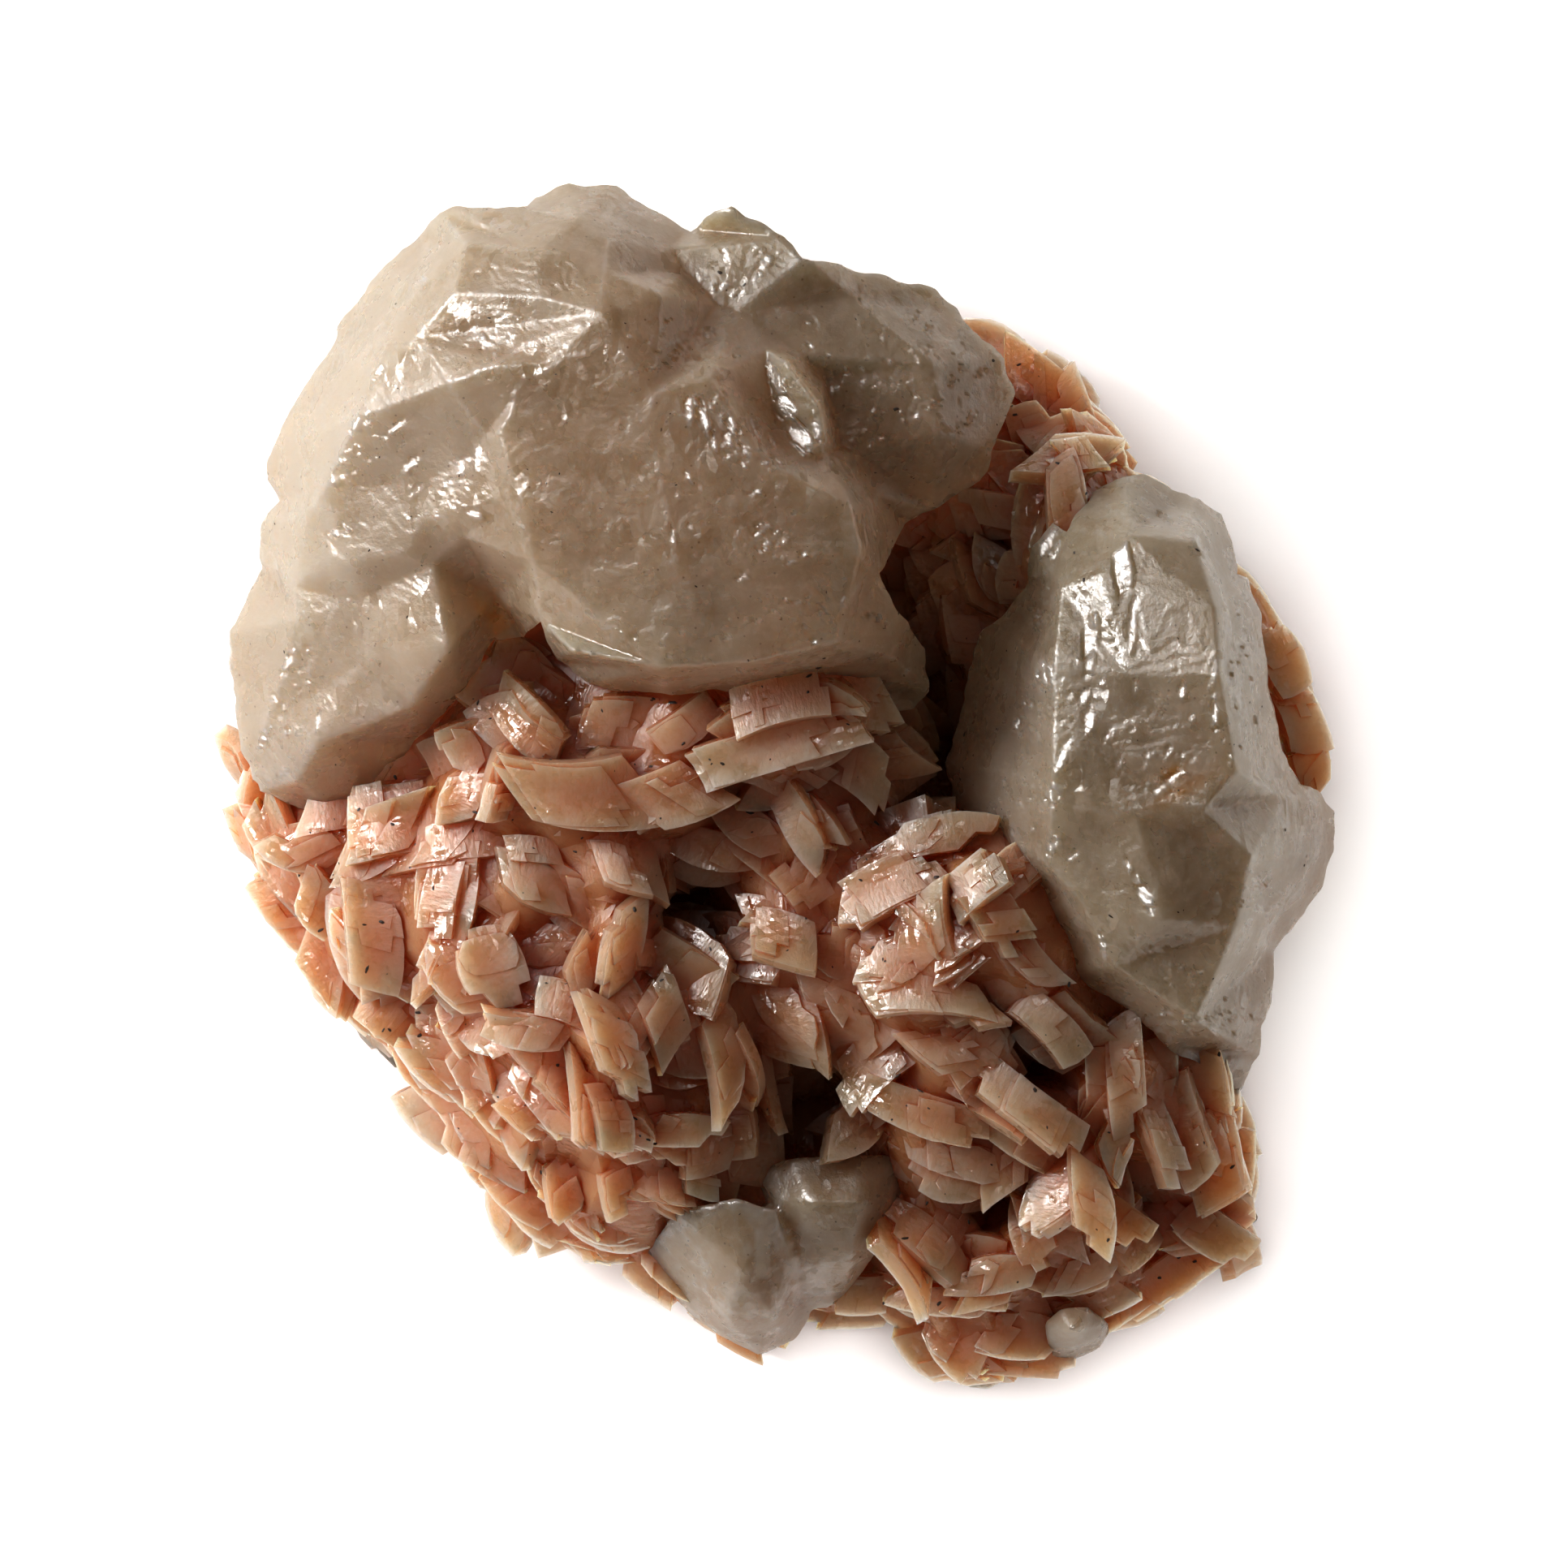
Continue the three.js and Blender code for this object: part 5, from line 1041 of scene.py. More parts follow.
# The large calcites
def facet_triangles(corners, facets):
    """Every facet cut into triangles, as the places of their corners."""
    triangles = []
    for facet in facets:
        points = [Vector(corners[key]) for key in facet.split()]
        for trio in tessellate_polygon([[point.to_2d().to_3d() for point in points]]):
            triangles.append([points[i][:] for i in trio])
    return np.array(triangles)


def facet_outline(corners, facets):
    """The corners round the edge of the facets, in order."""
    steps = set()
    for facet in facets:
        keys = facet.split()
        steps |= set(zip(keys, keys[1:] + keys[:1]))
    after = {here: there for here, there in steps if (there, here) not in steps}
    loop = [min(after)]
    while after[loop[-1]] != loop[0]:
        loop.append(after[loop[-1]])
    return np.array([corners[key][:2] for key in loop])


def uneven(outline):
    """The outline in short steps, a little wavy as on a natural edge."""
    points = []
    for here, there in zip(outline, np.roll(outline, -1, axis=0)):
        count = max(1, round(np.linalg.norm(there - here) / EDGE_STEP))
        points += [here + (there - here) * i / count for i in range(count)]
    points = np.array(points)
    flat = np.column_stack([points, np.zeros(len(points))])
    return points + np.column_stack([layered(flat, waves) for waves in EDGE_WAVES])


def filled(values):
    """The empty cells beside the facets, filled from their neighbours."""
    for _ in range(round(GRID_MARGIN / GRID)):
        sides = np.stack([np.roll(values, shift, axis) for shift in (1, -1) for axis in (0, 1)])
        known = ~np.isnan(sides)
        mean = np.where(known, sides, 0).sum(axis=0) / np.maximum(known.sum(axis=0), 1)
        values = np.where(np.isnan(values) & known.any(axis=0), mean, values)
    return np.nan_to_num(values)


def blurred(values, times):
    for _ in range(times):
        for axis in (0, 1):
            values = (np.roll(values, 1, axis) + 2 * values + np.roll(values, -1, axis)) / 4
    return values


class Sheet:
    """The top of a calcite over a fine grid: its height, its milkiness with painted light, shade, highlights
    and glints, its stains and its gloss.
    """

    def __init__(self, triangles):
        self.low = triangles[:, :, :2].min(axis=(0, 1)) - GRID_MARGIN
        high = triangles[:, :, :2].max(axis=(0, 1)) + GRID_MARGIN
        self.x, self.y = np.meshgrid(*[np.arange(*span, GRID) for span in zip(self.low, high)])
        height = np.full(self.x.shape, np.nan)
        for a, b, c in triangles:
            whole = (b[1] - c[1]) * (a[0] - c[0]) + (c[0] - b[0]) * (a[1] - c[1])
            u = ((b[1] - c[1]) * (self.x - c[0]) + (c[0] - b[0]) * (self.y - c[1])) / whole
            v = ((c[1] - a[1]) * (self.x - c[0]) + (a[0] - c[0]) * (self.y - c[1])) / whole
            under = (u >= 0) & (v >= 0) & (u + v <= 1)
            height[under] = (u * a[2] + v * b[2] + (1 - u - v) * c[2])[under]
        self.within = ~np.isnan(height)
        self.height = blurred(filled(height), EDGE_BLUR)
        self.slope = np.gradient(blurred(self.height, SLOPE_BLUR), GRID)
        self.milk_and_painted_light = np.zeros(height.shape)
        self.stain = np.zeros(height.shape)
        self.gloss = np.zeros(height.shape)

    def roughen(self):
        """Gentle swells, and low growth steps with wavy edges."""
        points = np.column_stack([self.x.ravel(), self.y.ravel(), self.height.ravel()])
        field = GROWTH_STEPS * layered(points, GROWTH_FIELD)
        steps = np.floor(field) + np.clip((field % 1) * GROWTH_STEEPNESS, 0, 1)
        rise = layered(points, SHEET_SWELLS) + GROWTH_STEP * steps
        self.height += rise.reshape(self.x.shape)

    def window(self, x, y, reach):
        """The part of the grid round a spot."""
        column, row = ((np.array([x, y]) - self.low) / GRID).astype(int)
        size = int(reach / GRID) + 2
        if not (0 <= column < self.x.shape[1] and 0 <= row < self.x.shape[0]):
            return None
        return slice(max(0, row - size), row + size), slice(max(0, column - size), column + size)

    def crease(self, rise, white, points):
        """A fine raised line, whiter than the face it lies on with a painted highlight."""
        for (ax, ay), (bx, by) in zip(points, points[1:]):
            reach = math.hypot(bx - ax, by - ay) / 2 + LINE_REACH * LINE_WIDTH
            part = self.window((ax + bx) / 2, (ay + by) / 2, reach)
            if part is None:
                continue
            x = self.x[part] - ax
            y = self.y[part] - ay
            along = np.clip((x * (bx - ax) + y * (by - ay)) / ((bx - ax) ** 2 + (by - ay) ** 2), 0, 1)
            gap = np.hypot(x - along * (bx - ax), y - along * (by - ay)) / LINE_WIDTH
            near = np.exp(-(gap**2))
            spots = np.column_stack([self.x[part].ravel(), self.y[part].ravel(), 0 * x.ravel()])
            near *= (LINE_MEAN + layered(spots, LINE_WAVE)).reshape(x.shape)
            # Painted highlight along the line
            self.milk_and_painted_light[part] = np.maximum(self.milk_and_painted_light[part], white * near)
            self.height[part] += rise / 2 * near

    def flake(self, x, y, length, width, heading, strength):
        """A small cleavage face in steps that all lean towards the light, painted whiter as a painted glint.
        """
        part = self.window(x, y, length)
        if part is None:
            return
        along, across = oval(self.x[part], self.y[part], x, y, length / 2, width / 2, heading)
        ends = np.abs(along + FLAKE_SKEW[0] * across)
        sides = np.abs(across) + FLAKE_SKEW[1] * np.abs(along)
        cover = np.clip((FLAKE_EDGE - np.maximum(ends, sides)) * FLAKE_CRISP, 0, 1)
        row, column = (self.x[part].shape[0] // 2, self.x[part].shape[1] // 2)
        lean_x = GLINT_SLOPE[0] - self.slope[1][part][row, column]
        lean_y = GLINT_SLOPE[1] - self.slope[0][part][row, column]
        rise = lean_x * (self.x[part] - x) + lean_y * (self.y[part] - y)
        steps = (rise + FLAKE_STEP / 2) % FLAKE_STEP - FLAKE_STEP / 2
        self.height[part] += cover * steps
        # Painted glint: the flake is whitened, fading along its length
        fade = np.clip(FLAKE_FADE[0] + FLAKE_FADE[1] * along, FLAKE_FAINTEST, 1)
        self.milk_and_painted_light[part] = np.maximum(self.milk_and_painted_light[part], cover * strength * fade)
        self.gloss[part] = np.maximum(self.gloss[part], cover)

    def cloud(self, values, x, y, half_length, half_width, heading, strength=1.0):
        """A soft oval patch added to the given values."""
        part = self.window(x, y, CLOUD_REACH * max(half_length, half_width))
        if part is None:
            return
        along, across = oval(self.x[part], self.y[part], x, y, half_length, half_width, heading)
        values[part] += strength * np.exp(-(along**2) - across**2)

    def etch(self, rng, x, y, half_length, half_width, heading, count):
        """Many tiny flakes about one place."""
        turn = Matrix.Rotation(math.radians(heading), 2)
        for _ in range(count):
            along = rng.normal(0, ETCHED_SPREAD * half_length)
            spot = turn @ Vector((along, rng.normal(0, ETCHED_SPREAD * half_width)))
            length = rng.uniform(*ETCHED_LENGTH)
            lean = heading + rng.normal(0, ETCHED_LEAN)
            strength = ETCHED_STRENGTH * rng.random() ** 3
            self.flake(x + spot.x, y + spot.y, length, length / 2, lean, strength)

    def detailed(self):
        """Adds every form and marking of the calcite's surface."""
        rng = np.random.default_rng(FLAKE_SEED)
        self.roughen()
        for milk_and_painted_light in VEILS_AND_PAINTED_LIGHT:
            self.cloud(self.milk_and_painted_light, *milk_and_painted_light)
        for stain in STAINS:
            self.cloud(self.stain, *stain)
        for crease in CREASES:
            self.crease(*crease)
        for place in ETCHED:
            self.etch(rng, *place)
        for flake in FLAKES:
            self.flake(*flake, rng.uniform(*FLAKE_STRENGTH))

    def sample(self, values, points):
        """The values at any points, from the four cells round each."""
        cells = (points - self.low) / GRID
        low = np.floor(cells).astype(int)
        part = cells - low
        row, column = low[:, 1], low[:, 0]
        upper = values[row + 1, column] * (1 - part[:, 0]) + values[row + 1, column + 1] * part[:, 0]
        lower = values[row, column] * (1 - part[:, 0]) + values[row, column + 1] * part[:, 0]
        return lower + (upper - lower) * part[:, 1]


def side_rings(bm, middle):
    """Closes the solid below the sheet: sides that draw in, and a base."""
    lower = [edge for edge in bm.edges if edge.is_boundary]
    past_reach, past_level = 1, 1
    for step in range(1, SIDE_STEPS + 1):
        share = step / SIDE_STEPS
        reach = 1 - (1 - SIDE_REACH) * share**2
        level = 1 - share
        made = bmesh.ops.extrude_edge_only(bm, edges=lower)["geom"]
        lower = [edge for edge in made if isinstance(edge, bmesh.types.BMEdge) and edge.is_boundary]
        for vert in {vert for edge in lower for vert in edge.verts}:
            vert.co.x = middle[0] + (vert.co.x - middle[0]) * reach / past_reach
            vert.co.y = middle[1] + (vert.co.y - middle[1]) * reach / past_reach
            vert.co.z = SIDE_BASE + (vert.co.z - SIDE_BASE) * level / past_level
        past_reach, past_level = reach, max(level, TINY)
    bmesh.ops.triangle_fill(bm, edges=lower, use_beauty=True)


def bulge_sides(sides, middle):
    """Moves the points of a calcite's sides outwards and inwards a little."""
    outward = sides[:, :2] - np.array(middle)
    outward /= np.linalg.norm(outward, axis=1)[:, None]
    depth = np.clip((SIDE_NOISE_TOP - sides[:, 2]) / SIDE_NOISE_TOP, SIDE_NOISE_LEAST, 1)
    sides[:, :2] += outward * (depth * layered(sides, SIDE_BULGES))[:, None]


def sheet_calcite(name, corners, facets, middle):
    """A calcite whose top is a finely detailed sheet."""
    sheet = Sheet(facet_triangles(corners, facets))
    sheet.detailed()
    rim = uneven(facet_outline(corners, facets))
    inner = sheet.within & (blurred(sheet.within.astype(float), INNER_BLUR) > INNER_SHARE)
    spots = np.column_stack([sheet.x[inner], sheet.y[inner]])
    coords = [Vector(spot) for spot in np.concatenate([rim, spots]).tolist()]
    flat, _, faces, *_ = delaunay_2d_cdt(coords, [], [list(range(len(rim)))], INSIDE_ONLY, MERGE_WITHIN)
    flat = np.array([vert[:] for vert in flat])
    top = mesh_from(name, np.column_stack([flat, sheet.sample(sheet.height, flat)]), faces)
    bm = bmesh.new()
    bm.from_mesh(top)
    bmesh.ops.triangulate(bm, faces=bm.faces)
    side_rings(bm, middle)
    bmesh.ops.recalc_face_normals(bm, faces=bm.faces)
    mesh = mesh_of(bm, name)
    points = vertex_places(mesh)
    sides = points[len(flat) :]
    bulge_sides(sides, middle)
    move_vertices(mesh, points)
    # The milkiness carries painted light, shade, highlights and glints as well
    for key, values in (("milk_and_painted_light", sheet.milk_and_painted_light), ("gloss", sheet.gloss), ("stain", sheet.stain)):
        keep_values(mesh, key, np.concatenate([sheet.sample(values, flat), np.zeros(len(sides))]))
    return mesh


# The smaller calcites
def hull_mesh(name, corners):
    """The flat-faced hull of a crystal's corners."""
    bm = bmesh.new()
    made = bmesh.ops.convex_hull(bm, input=[bm.verts.new(corner) for corner in corners])
    left = {v for v in made["geom_interior"] + made["geom_unused"] if isinstance(v, bmesh.types.BMVert)}
    bmesh.ops.delete(bm, geom=list(left), context="VERTS")
    bmesh.ops.recalc_face_normals(bm, faces=bm.faces)
    return mesh_of(bm, name)


def hull_marks(points):
    """The milkiness and the gloss: clear crystals painted dark as shade seen through them, with a mottle, and
    a few bright cleavage faces painted whiter as painted glints.
    """
    x, y = points[:, 0], points[:, 1]
    clear = np.clip((x - CLEAR_START) / CLEAR_FADE, 0, 1)
    clear *= np.where(x < SMALL_CRYSTAL_START, CLEARNESS, SMALL_CRYSTAL_CLEARNESS)
    mottle = np.clip(layered(points, MOTTLES), 0, MOTTLE_MOST)
    # Clear parts go below 0, which paints them dark as shade seen through them
    milk_and_painted_light = mottle * (1 - clear) - clear
    gloss = mottle / MOTTLE_MOST
    # Painted glints: the bright cleavage faces are painted whiter and made glossier
    for face in BRIGHT_FACES:
        along, across = oval(x, y, *face)
        cover = np.clip((1 - np.maximum(np.abs(along), np.abs(across))) * FLAKE_CRISP, 0, 1)
        milk_and_painted_light = np.maximum(milk_and_painted_light, BRIGHT_FACE_GLINT * cover)
        gloss = np.maximum(gloss, cover)
    return milk_and_painted_light, gloss


def hull_calcite(name, crystals):
    """A smaller calcite, from the united hulls of its crystals."""
    first, *others = [hull_mesh(f"{name}_{i}", corners) for i, corners in enumerate(crystals)]
    mesh = remeshed(name, united(name, first, others) if others else first, VOXEL)
    points = vertex_places(mesh)
    normals = np.empty(len(points) * 3, dtype=np.float32)
    mesh.vertex_normals.foreach_get("vector", normals)
    swell = layered(points, HULL_SWELLS) - HULL_SINK
    points = points + normals.reshape(-1, 3) * swell[:, None]
    points[:, 2] = np.maximum(points[:, 2], 0)
    move_vertices(mesh, points)
    milk_and_painted_light, gloss = hull_marks(points)
    keep_values(mesh, "milk_and_painted_light", milk_and_painted_light)
    keep_values(mesh, "gloss", gloss)
    return mesh


# Dust
def highest_hit(trees, x, y):
    """The uppermost surface under a spot, as its place and normal."""
    hits = [tree.ray_cast(Vector((x, y, DUST_DROP)), -UP) for tree in trees]
    hits = [(hit[0], hit[1]) for hit in hits if hit[0] is not None]
    return max(hits, key=lambda hit: hit[0].z) if hits else None


def dust_mesh(targets):
    """Tiny dark flakes lying on the surface under each listed spot, and some scattered ones."""
    rng = np.random.default_rng(DUST_SEED)
    trees = [tree_of(mesh) for mesh in targets]
    spots = [(x, y, rng.uniform(*DUST_SIZE)) for x, y in DUST]
    for _ in range(FINE_DUST_COUNT):
        x, y = rng.uniform(-FINE_DUST_REACH, FINE_DUST_REACH, 2)
        spots.append((x, y, rng.uniform(*FINE_DUST_SIZE)))
    bm = bmesh.new()
    for x, y, size in spots:
        hit = highest_hit(trees, x, y)
        if hit is None or hit[0].z < DUST_LOWEST:
            continue
        place, normal = hit
        spin = Matrix.Rotation(rng.uniform(0, DUST_SPIN), 4, "Z")
        turn = normal.to_track_quat("Z", "Y").to_matrix().to_4x4() @ spin
        shape = Matrix.Diagonal((size * rng.uniform(*DUST_STRETCH), size, size * DUST_FLATNESS, 1))
        made = bmesh.ops.create_icosphere(bm, subdivisions=1, radius=0.5)
        for vert in made["verts"]:
            vert.co += Vector(rng.uniform(-DUST_ROUGHNESS, DUST_ROUGHNESS, 3))
        bmesh.ops.transform(bm, matrix=Matrix.Translation(place) @ turn @ shape, verts=made["verts"])
    return mesh_of(bm, "dust_specks")


# Materials
class Shader:
    """A node tree with short calls for the nodes that the materials share."""

    def __init__(self, name):
        self.material = bpy.data.materials.new(name)
        self.material.use_nodes = True
        self.tree = self.material.node_tree
        self.tree.nodes.clear()
        self.bsdf = self.add("ShaderNodeBsdfPrincipled")
        output = self.add("ShaderNodeOutputMaterial")
        self.join(self.bsdf.outputs[0], output.inputs["Surface"])

    def add(self, kind, **values):
        node = self.tree.nodes.new(kind)
        for key, value in values.items():
            setattr(node, key, value)
        return node

    def join(self, source, target):
        self.tree.links.new(source, target)

    def fill(self, sockets, values):
        """Links or sets each named or numbered socket."""
        for key, value in values.items():
            if isinstance(value, bpy.types.NodeSocket):
                self.join(value, sockets[key])
            else:
                sockets[key].default_value = value

    def surface(self, values):
        self.fill(self.bsdf.inputs, values)

    def attribute(self, name, output="Fac"):
        return self.add("ShaderNodeAttribute", attribute_name=name).outputs[output]

    def place(self):
        return self.add("ShaderNodeTexCoord").outputs["Object"]

    def noise(self, vector, scale, detail, roughness=0.55, distortion=0.0):
        node = self.add("ShaderNodeTexNoise")
        settings = {"Scale": scale, "Detail": detail, "Roughness": roughness, "Distortion": distortion}
        self.fill(node.inputs, {"Vector": vector} | settings)
        return node.outputs["Fac"]

    def cells(self, vector, scale, output="Color"):
        node = self.add("ShaderNodeTexVoronoi")
        self.fill(node.inputs, {"Vector": vector, "Scale": scale})
        return node.outputs[output]

    def math(self, operation, a, b=0.0, c=0.0):
        node = self.add("ShaderNodeMath", operation=operation)
        self.fill(node.inputs, {0: a, 1: b, 2: c})
        return node.outputs[0]

    def vector_math(self, operation, a, b=(0, 0, 0)):
        node = self.add("ShaderNodeVectorMath", operation=operation)
        self.fill(node.inputs, {0: a, 1: b})
        return node.outputs["Vector"]

    def scaled(self, vector, factor):
        node = self.add("ShaderNodeVectorMath", operation="SCALE")
        self.fill(node.inputs, {0: vector, "Scale": factor})
        return node.outputs["Vector"]

    def ramp(self, value, low, high, start=0.0, end=1.0):
        node = self.add("ShaderNodeMapRange")
        span = {"From Min": low, "From Max": high, "To Min": start, "To Max": end}
        self.fill(node.inputs, {"Value": value} | span)
        return node.outputs["Result"]

    def mix(self, factor, a, b):
        node = self.add("ShaderNodeMix", data_type="RGBA")
        self.fill(node.inputs, {"Factor": factor, 6: a, 7: b})
        return node.outputs[2]

    def bump(self, height, strength, distance):
        node = self.add("ShaderNodeBump")
        self.fill(node.inputs, {"Strength": strength, "Distance": distance, "Height": height})
        return node.outputs["Normal"]

    def openness(self, distance):
        """How open the place is to its surroundings, from 0 in a deep gap to 1."""
        node = self.add("ShaderNodeAmbientOcclusion", samples=1)
        self.fill(node.inputs, {"Distance": distance})
        return node.outputs["AO"]

    def sparkle(self, normal, cells, tilt):
        """Turns the normal a little, differently in each small cell."""
        offset = self.scaled(self.vector_math("SUBTRACT", cells, (0.5, 0.5, 0.5)), tilt)
        return self.vector_math("NORMALIZE", self.vector_math("ADD", normal, offset))


def dolomite_material():
    s = Shader("dolomite_pink")
    local = s.attribute("local", "Vector")
    tone = s.attribute("tone")
    rim = s.attribute("rim")
    place = s.place()
    clouds = s.noise(place, *PINK_CLOUD_NOISE)
    grain = s.noise(local, *GRAIN_NOISE)
    colour = s.mix(s.ramp(grain, *GRAIN_RAMP), PINK, PALE_PINK)
    colour = s.mix(s.ramp(clouds, *PINK_CLOUD_RAMP), colour, PINK_CLOUD)
    colour = s.mix(s.ramp(tone, *PALE_BLADE_RAMP), colour, PALE_BLADE)
    # Tone that differs at random from blade to blade; the upright sides' tone below 0 also takes this dark
    # colour and some crust colour, as painted shade
    colour = s.mix(s.ramp(tone, *DARK_BLADE_RAMP), colour, DARK_BLADE)
    # Painted glow: paler along each blade's rim, as light through thin edges
    colour = s.mix(s.ramp(rim, *RIM_GLOW_RAMP), colour, PAINTED_RIM_GLOW)
    colour = s.mix(s.math("MULTIPLY", tone, -1), colour, BARE_CRUST)
    # Painted shade: the blades turn deep orange-brown where the ambient occlusion finds them closed in
    colour = s.mix(s.ramp(s.openness(GAP_SHADE_REACH), *GAP_SHADE_RAMP), colour, PAINTED_GAP_SHADE)
    lines = s.noise(s.vector_math("MULTIPLY", local, BLADE_LINES_STRETCH), *BLADE_LINES_NOISE)
    relief = s.math("MULTIPLY", lines, BLADE_LINES_RELIEF)
    relief = s.math("ADD", relief, s.math("MULTIPLY", grain, GRAIN_RELIEF))
    normal = s.bump(relief, *BLADE_BUMP)
    cells = s.cells(s.vector_math("MULTIPLY", local, BLADE_CELLS_STRETCH), BLADE_CELLS_SCALE)
    patches = s.noise(place, *BLADE_PATCH_NOISE)
    normal = s.sparkle(normal, cells, s.ramp(patches, *BLADE_TILT_RAMP))
    rough = s.ramp(patches, *BLADE_ROUGH_RAMP)
    s.surface(DOLOMITE_SURFACE | {"Base Color": colour, "Normal": normal, "Roughness": rough})
    return s.material


def calcite_material():
    s = Shader("calcite_frosted")
    place = s.place()
    milk_and_painted_light = s.attribute("milk_and_painted_light")
    gloss = s.attribute("gloss")
    clouds = s.noise(place, *CREAM_NOISE)
    milk = s.noise(place, *MILK_NOISE)
    grit = s.noise(place, *GRIT_NOISE)
    body = s.mix(s.ramp(clouds, *CREAM_RAMP), DARK_CREAM, PALE_CREAM)
    spot = s.add("ShaderNodeSeparateXYZ")
    s.join(place, spot.inputs[0])
    body = s.mix(s.ramp(spot.outputs["Z"], *LOW_RAMP), body, LOW_CREAM)
    # Painted light: paler towards the left, where the key light falls
    body = s.mix(s.ramp(spot.outputs["X"], *LEFT_LIGHT_RAMP), body, PAINTED_LEFT_LIGHT)
    # Painted shade: clear parts, where the milkiness is below 0, turn dark as shade seen through them
    body = s.mix(s.math("MULTIPLY", milk_and_painted_light, -1), body, PAINTED_CLEAR_SHADE)
    body = s.mix(s.ramp(milk, *MILK_RAMP), body, MILK)
    body = s.mix(s.ramp(grit, *GRIT_RAMP), body, GRIT)
    thread = s.math("ABSOLUTE", s.math("SUBTRACT", s.noise(place, *THREAD_NOISE), 0.5))
    threads = s.math("MULTIPLY", s.ramp(thread, *THREAD_RAMP), s.ramp(clouds, *THREAD_CLOUD_RAMP))
    body = s.mix(threads, body, THREAD)
    # Milky veils, and the painted highlights and glints of creases and flakes, whiten the colour
    colour = s.mix(milk_and_painted_light, body, MILK_AND_HIGHLIGHT_WHITE)
    stain = s.attribute("stain")
    colour = s.mix(s.math("MULTIPLY", stain, s.ramp(milk, *OCHRE_RAMP)), colour, OCHRE)
    dots = s.ramp(s.cells(place, DOT_SCALE, "Distance"), *DOT_RAMP)
    colour = s.mix(dots, colour, DOT)
    relief = s.math("MULTIPLY", grit, GRIT_RELIEF)
    relief = s.math("ADD", relief, s.math("MULTIPLY", milk, MILK_RELIEF))
    normal = s.bump(relief, *CALCITE_BUMP)
    patches = s.noise(place, *CALCITE_PATCH_NOISE)
    cells = s.cells(s.vector_math("MULTIPLY", place, CALCITE_CELLS_STRETCH), CALCITE_CELLS_SCALE)
    normal = s.sparkle(normal, cells, s.ramp(patches, *CALCITE_TILT_RAMP))
    rough = s.math("MULTIPLY_ADD", gloss, GLOSS_POLISH, s.ramp(patches, *CALCITE_ROUGH_RAMP))
    s.surface(CALCITE_SURFACE | {"Base Color": colour, "Normal": normal, "Roughness": rough})
    return s.material


def grainy_material(name, noise, colours):
    """The shader of a material with a fine grain between two colours, and the grain itself."""
    s = Shader(name)
    grain = s.noise(s.place(), *noise)
    s.surface({"Base Color": s.mix(grain, *colours)})
    return s, grain


def dust_material():
    s, grain = grainy_material("dust_dark", DUST_NOISE, DUST_COLOURS)
    s.surface({"Roughness": s.ramp(grain, *DUST_ROUGH_RAMP)})
    return s.material


def floor_material():
    s, _ = grainy_material("floor_white", FLOOR_NOISE, FLOOR_COLOURS)
    s.surface(FLOOR_SURFACE)
    return s.material


# The set
def add_piece(name, mesh, material, nodes=()):
    mesh.transform(Matrix.Scale(MM, 4))
    mesh.materials.clear()
    mesh.materials.append(material)
    obj = placed(name, mesh)
    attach(obj, "root")
    if nodes:
        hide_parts(*nodes)


def add_floor():
    half = FLOOR_SIZE / 2
    corners = [(-half, -half, 0), (half, -half, 0), (half, half, 0), (-half, half, 0)]
    mesh = mesh_from("floor", corners, [(0, 1, 2, 3)])
    mesh.transform(Matrix.Scale(MM, 4))
    mesh.materials.append(floor_material())
    floor = placed("floor", mesh)
    return floor


def add_camera():
    data = bpy.data.cameras.new("camera")
    data.type = "ORTHO"
    data.ortho_scale = max(PHOTO_SIZE) * MM_PER_PIXEL * MM
    data.clip_start, data.clip_end = CAMERA_CLIP
    camera = placed("camera", data)
    camera.location = (0, 0, CAMERA_HEIGHT * MM)
    bpy.context.scene.camera = camera


def add_area_light(name, azimuth, elevation, size, power, on_matt):
    data = bpy.data.lights.new(name, "AREA")
    data.shape = "SQUARE"
    data.size = size * MM
    data.energy = power
    azimuth = math.radians(azimuth)
    elevation = math.radians(elevation)
    level = math.cos(elevation)
    direction = Vector((math.cos(azimuth) * level, math.sin(azimuth) * level, math.sin(elevation)))
    light = placed(name, data)
    light.location = direction * LIGHT_DISTANCE * MM
    light.rotation_euler = direction.to_track_quat("Z", "Y").to_euler()
    light.visible_diffuse = on_matt


def add_floor_light(floor):
    """A soft light for the floor alone, so that it stays as pale as the photograph's."""
    data = bpy.data.lights.new("floor_light", "SUN")
    data.energy = FLOOR_LIGHT
    data.angle = math.radians(FLOOR_LIGHT_SPREAD)
    lit = bpy.data.collections.new("floor_only")
    lit.objects.link(floor)
    placed("floor_light", data).light_linking.receiver_collection = lit


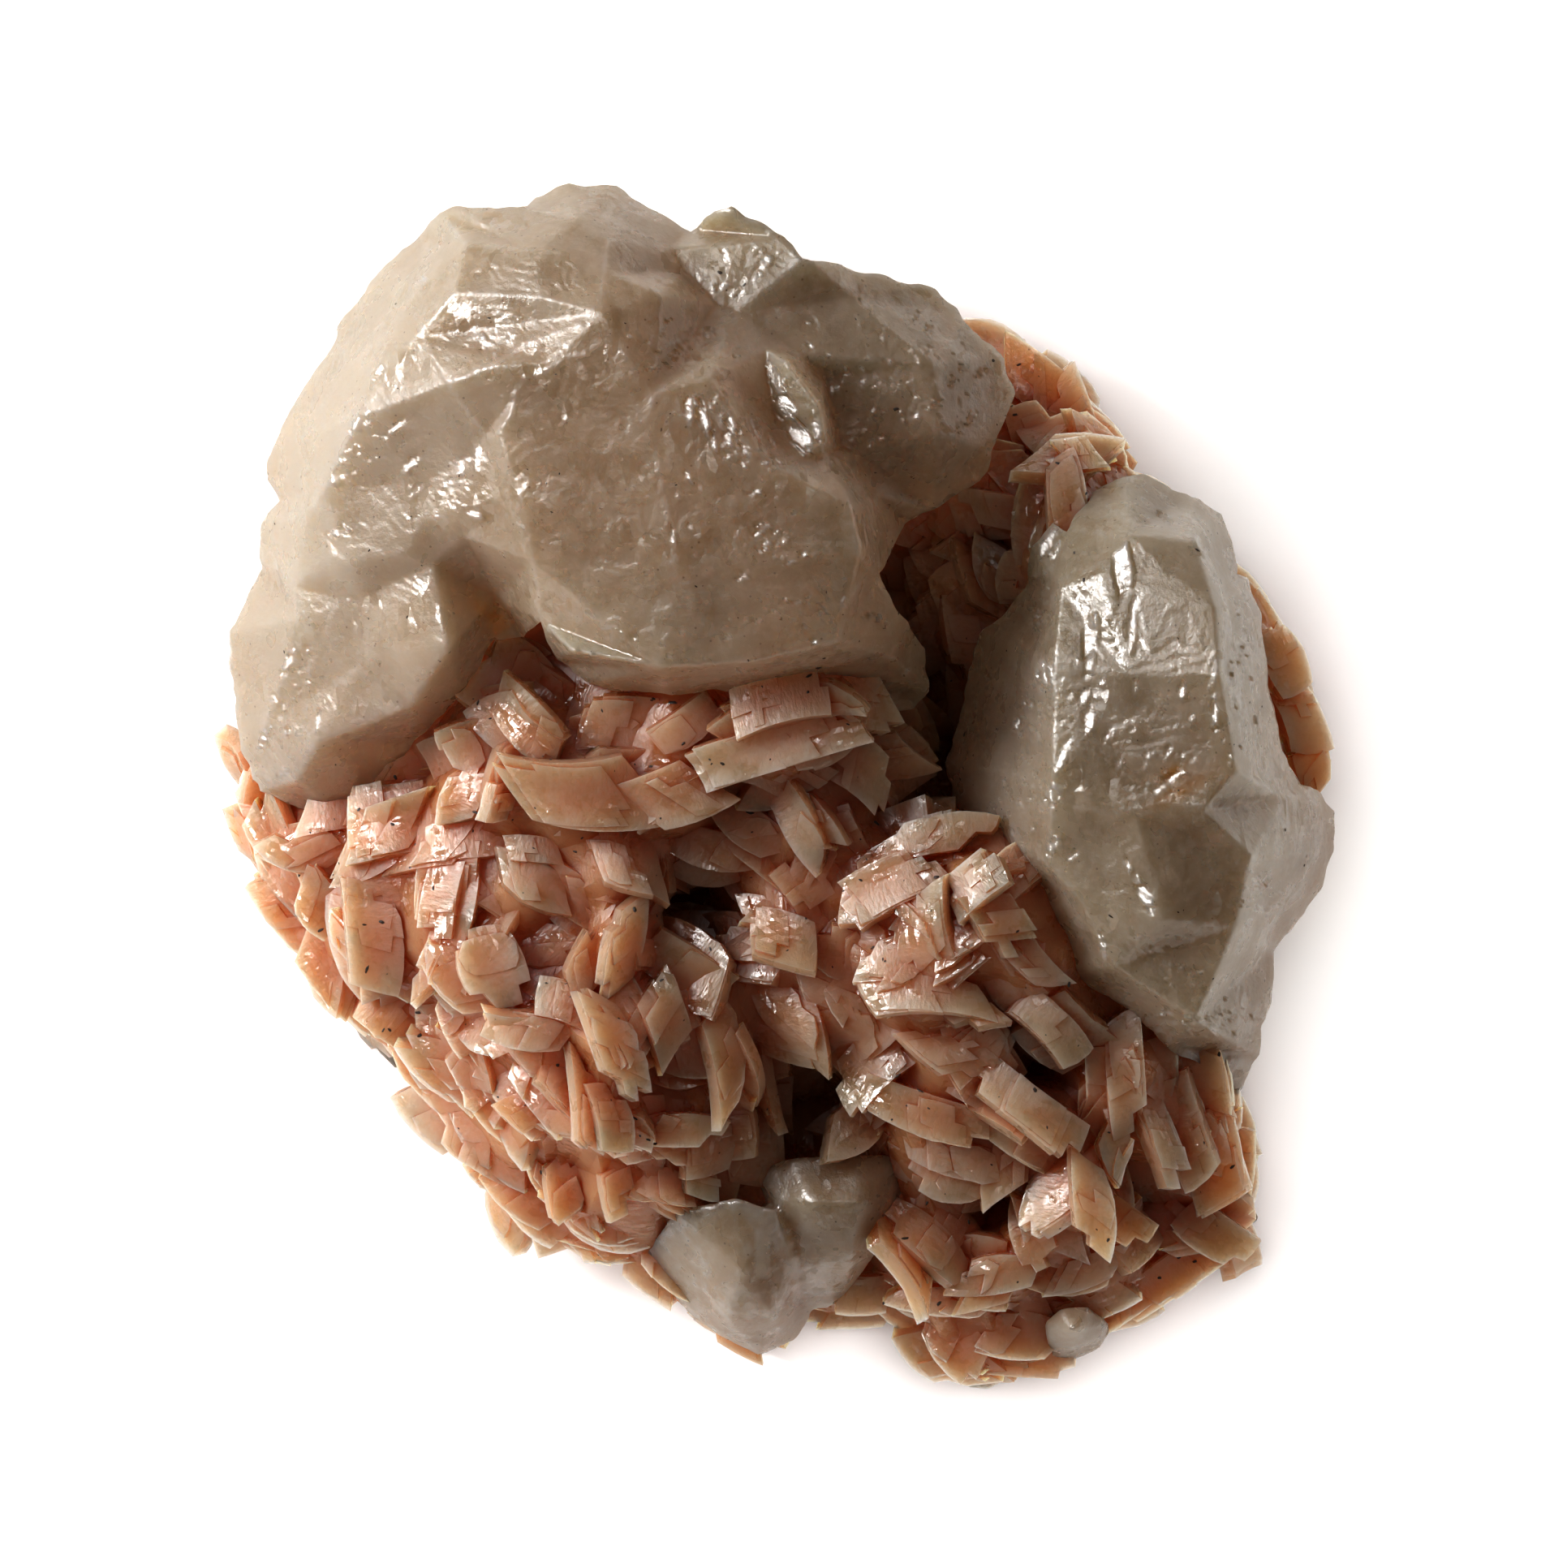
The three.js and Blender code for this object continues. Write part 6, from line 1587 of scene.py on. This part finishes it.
def add_world():
    """A dim warm fill for the part, and a pale backdrop where the camera sees past the floor."""
    world = bpy.data.worlds.new("studio")
    bpy.context.scene.world = world
    world.use_nodes = True
    nodes = world.node_tree.nodes
    nodes.clear()
    output = nodes.new("ShaderNodeOutputWorld")
    lights = [nodes.new("ShaderNodeBackground") for _ in range(2)]
    for light, colour, strength in zip(lights, (FILL_COLOUR, WHITE), (FILL_STRENGTH, BACKDROP_STRENGTH)):
        light.inputs["Color"].default_value = colour
        light.inputs["Strength"].default_value = strength
    path = nodes.new("ShaderNodeLightPath")
    mix = nodes.new("ShaderNodeMixShader")
    links = world.node_tree.links
    links.new(path.outputs["Is Camera Ray"], mix.inputs["Fac"])
    for i, light in enumerate(lights):
        links.new(light.outputs[0], mix.inputs[1 + i])
    links.new(mix.outputs[0], output.inputs["Surface"])


def set_view():
    scene = bpy.context.scene
    scene.view_settings.view_transform = "Standard"
    scene.view_settings.gamma = CONTRAST
    scene.cycles.use_denoising = True
    scene.cycles.diffuse_bounces = DIFFUSE_BOUNCES
    scene.cycles.max_bounces = MAX_BOUNCES
    scene.cycles.adaptive_threshold = NOISE_THRESHOLD
    scene.cycles.sample_clamp_indirect = INDIRECT_CLAMP


def main():
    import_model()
    add_camera()
    add_world()
    for name, light in LIGHTS.items():
        add_area_light(name, *light)
    add_floor_light(add_floor())
    set_view()

    calcites = {
        "upper_calcites": sheet_calcite("upper", UPPER_CORNERS, UPPER_FACETS, UPPER_MIDDLE),
        "right_calcites": sheet_calcite("right", RIGHT_CORNERS, RIGHT_FACETS, RIGHT_MIDDLE),
        "lower_calcites": hull_calcite("lower", LOWER_CALCITES),
        "small_calcite": hull_calcite("small", SMALL_CALCITE),
    }
    rock = dolomite([tree_of(mesh) for mesh in calcites.values()])
    dust = dust_mesh([rock, *calcites.values()])

    add_piece("dolomite_blades", rock, dolomite_material(), ["dolomite_crust"])
    frosted = calcite_material()
    for name, mesh in calcites.items():
        make_smooth(mesh)
        add_piece(name + "_frosted", mesh, frosted, [name])
    add_piece("dust_specks", dust, dust_material())


main()
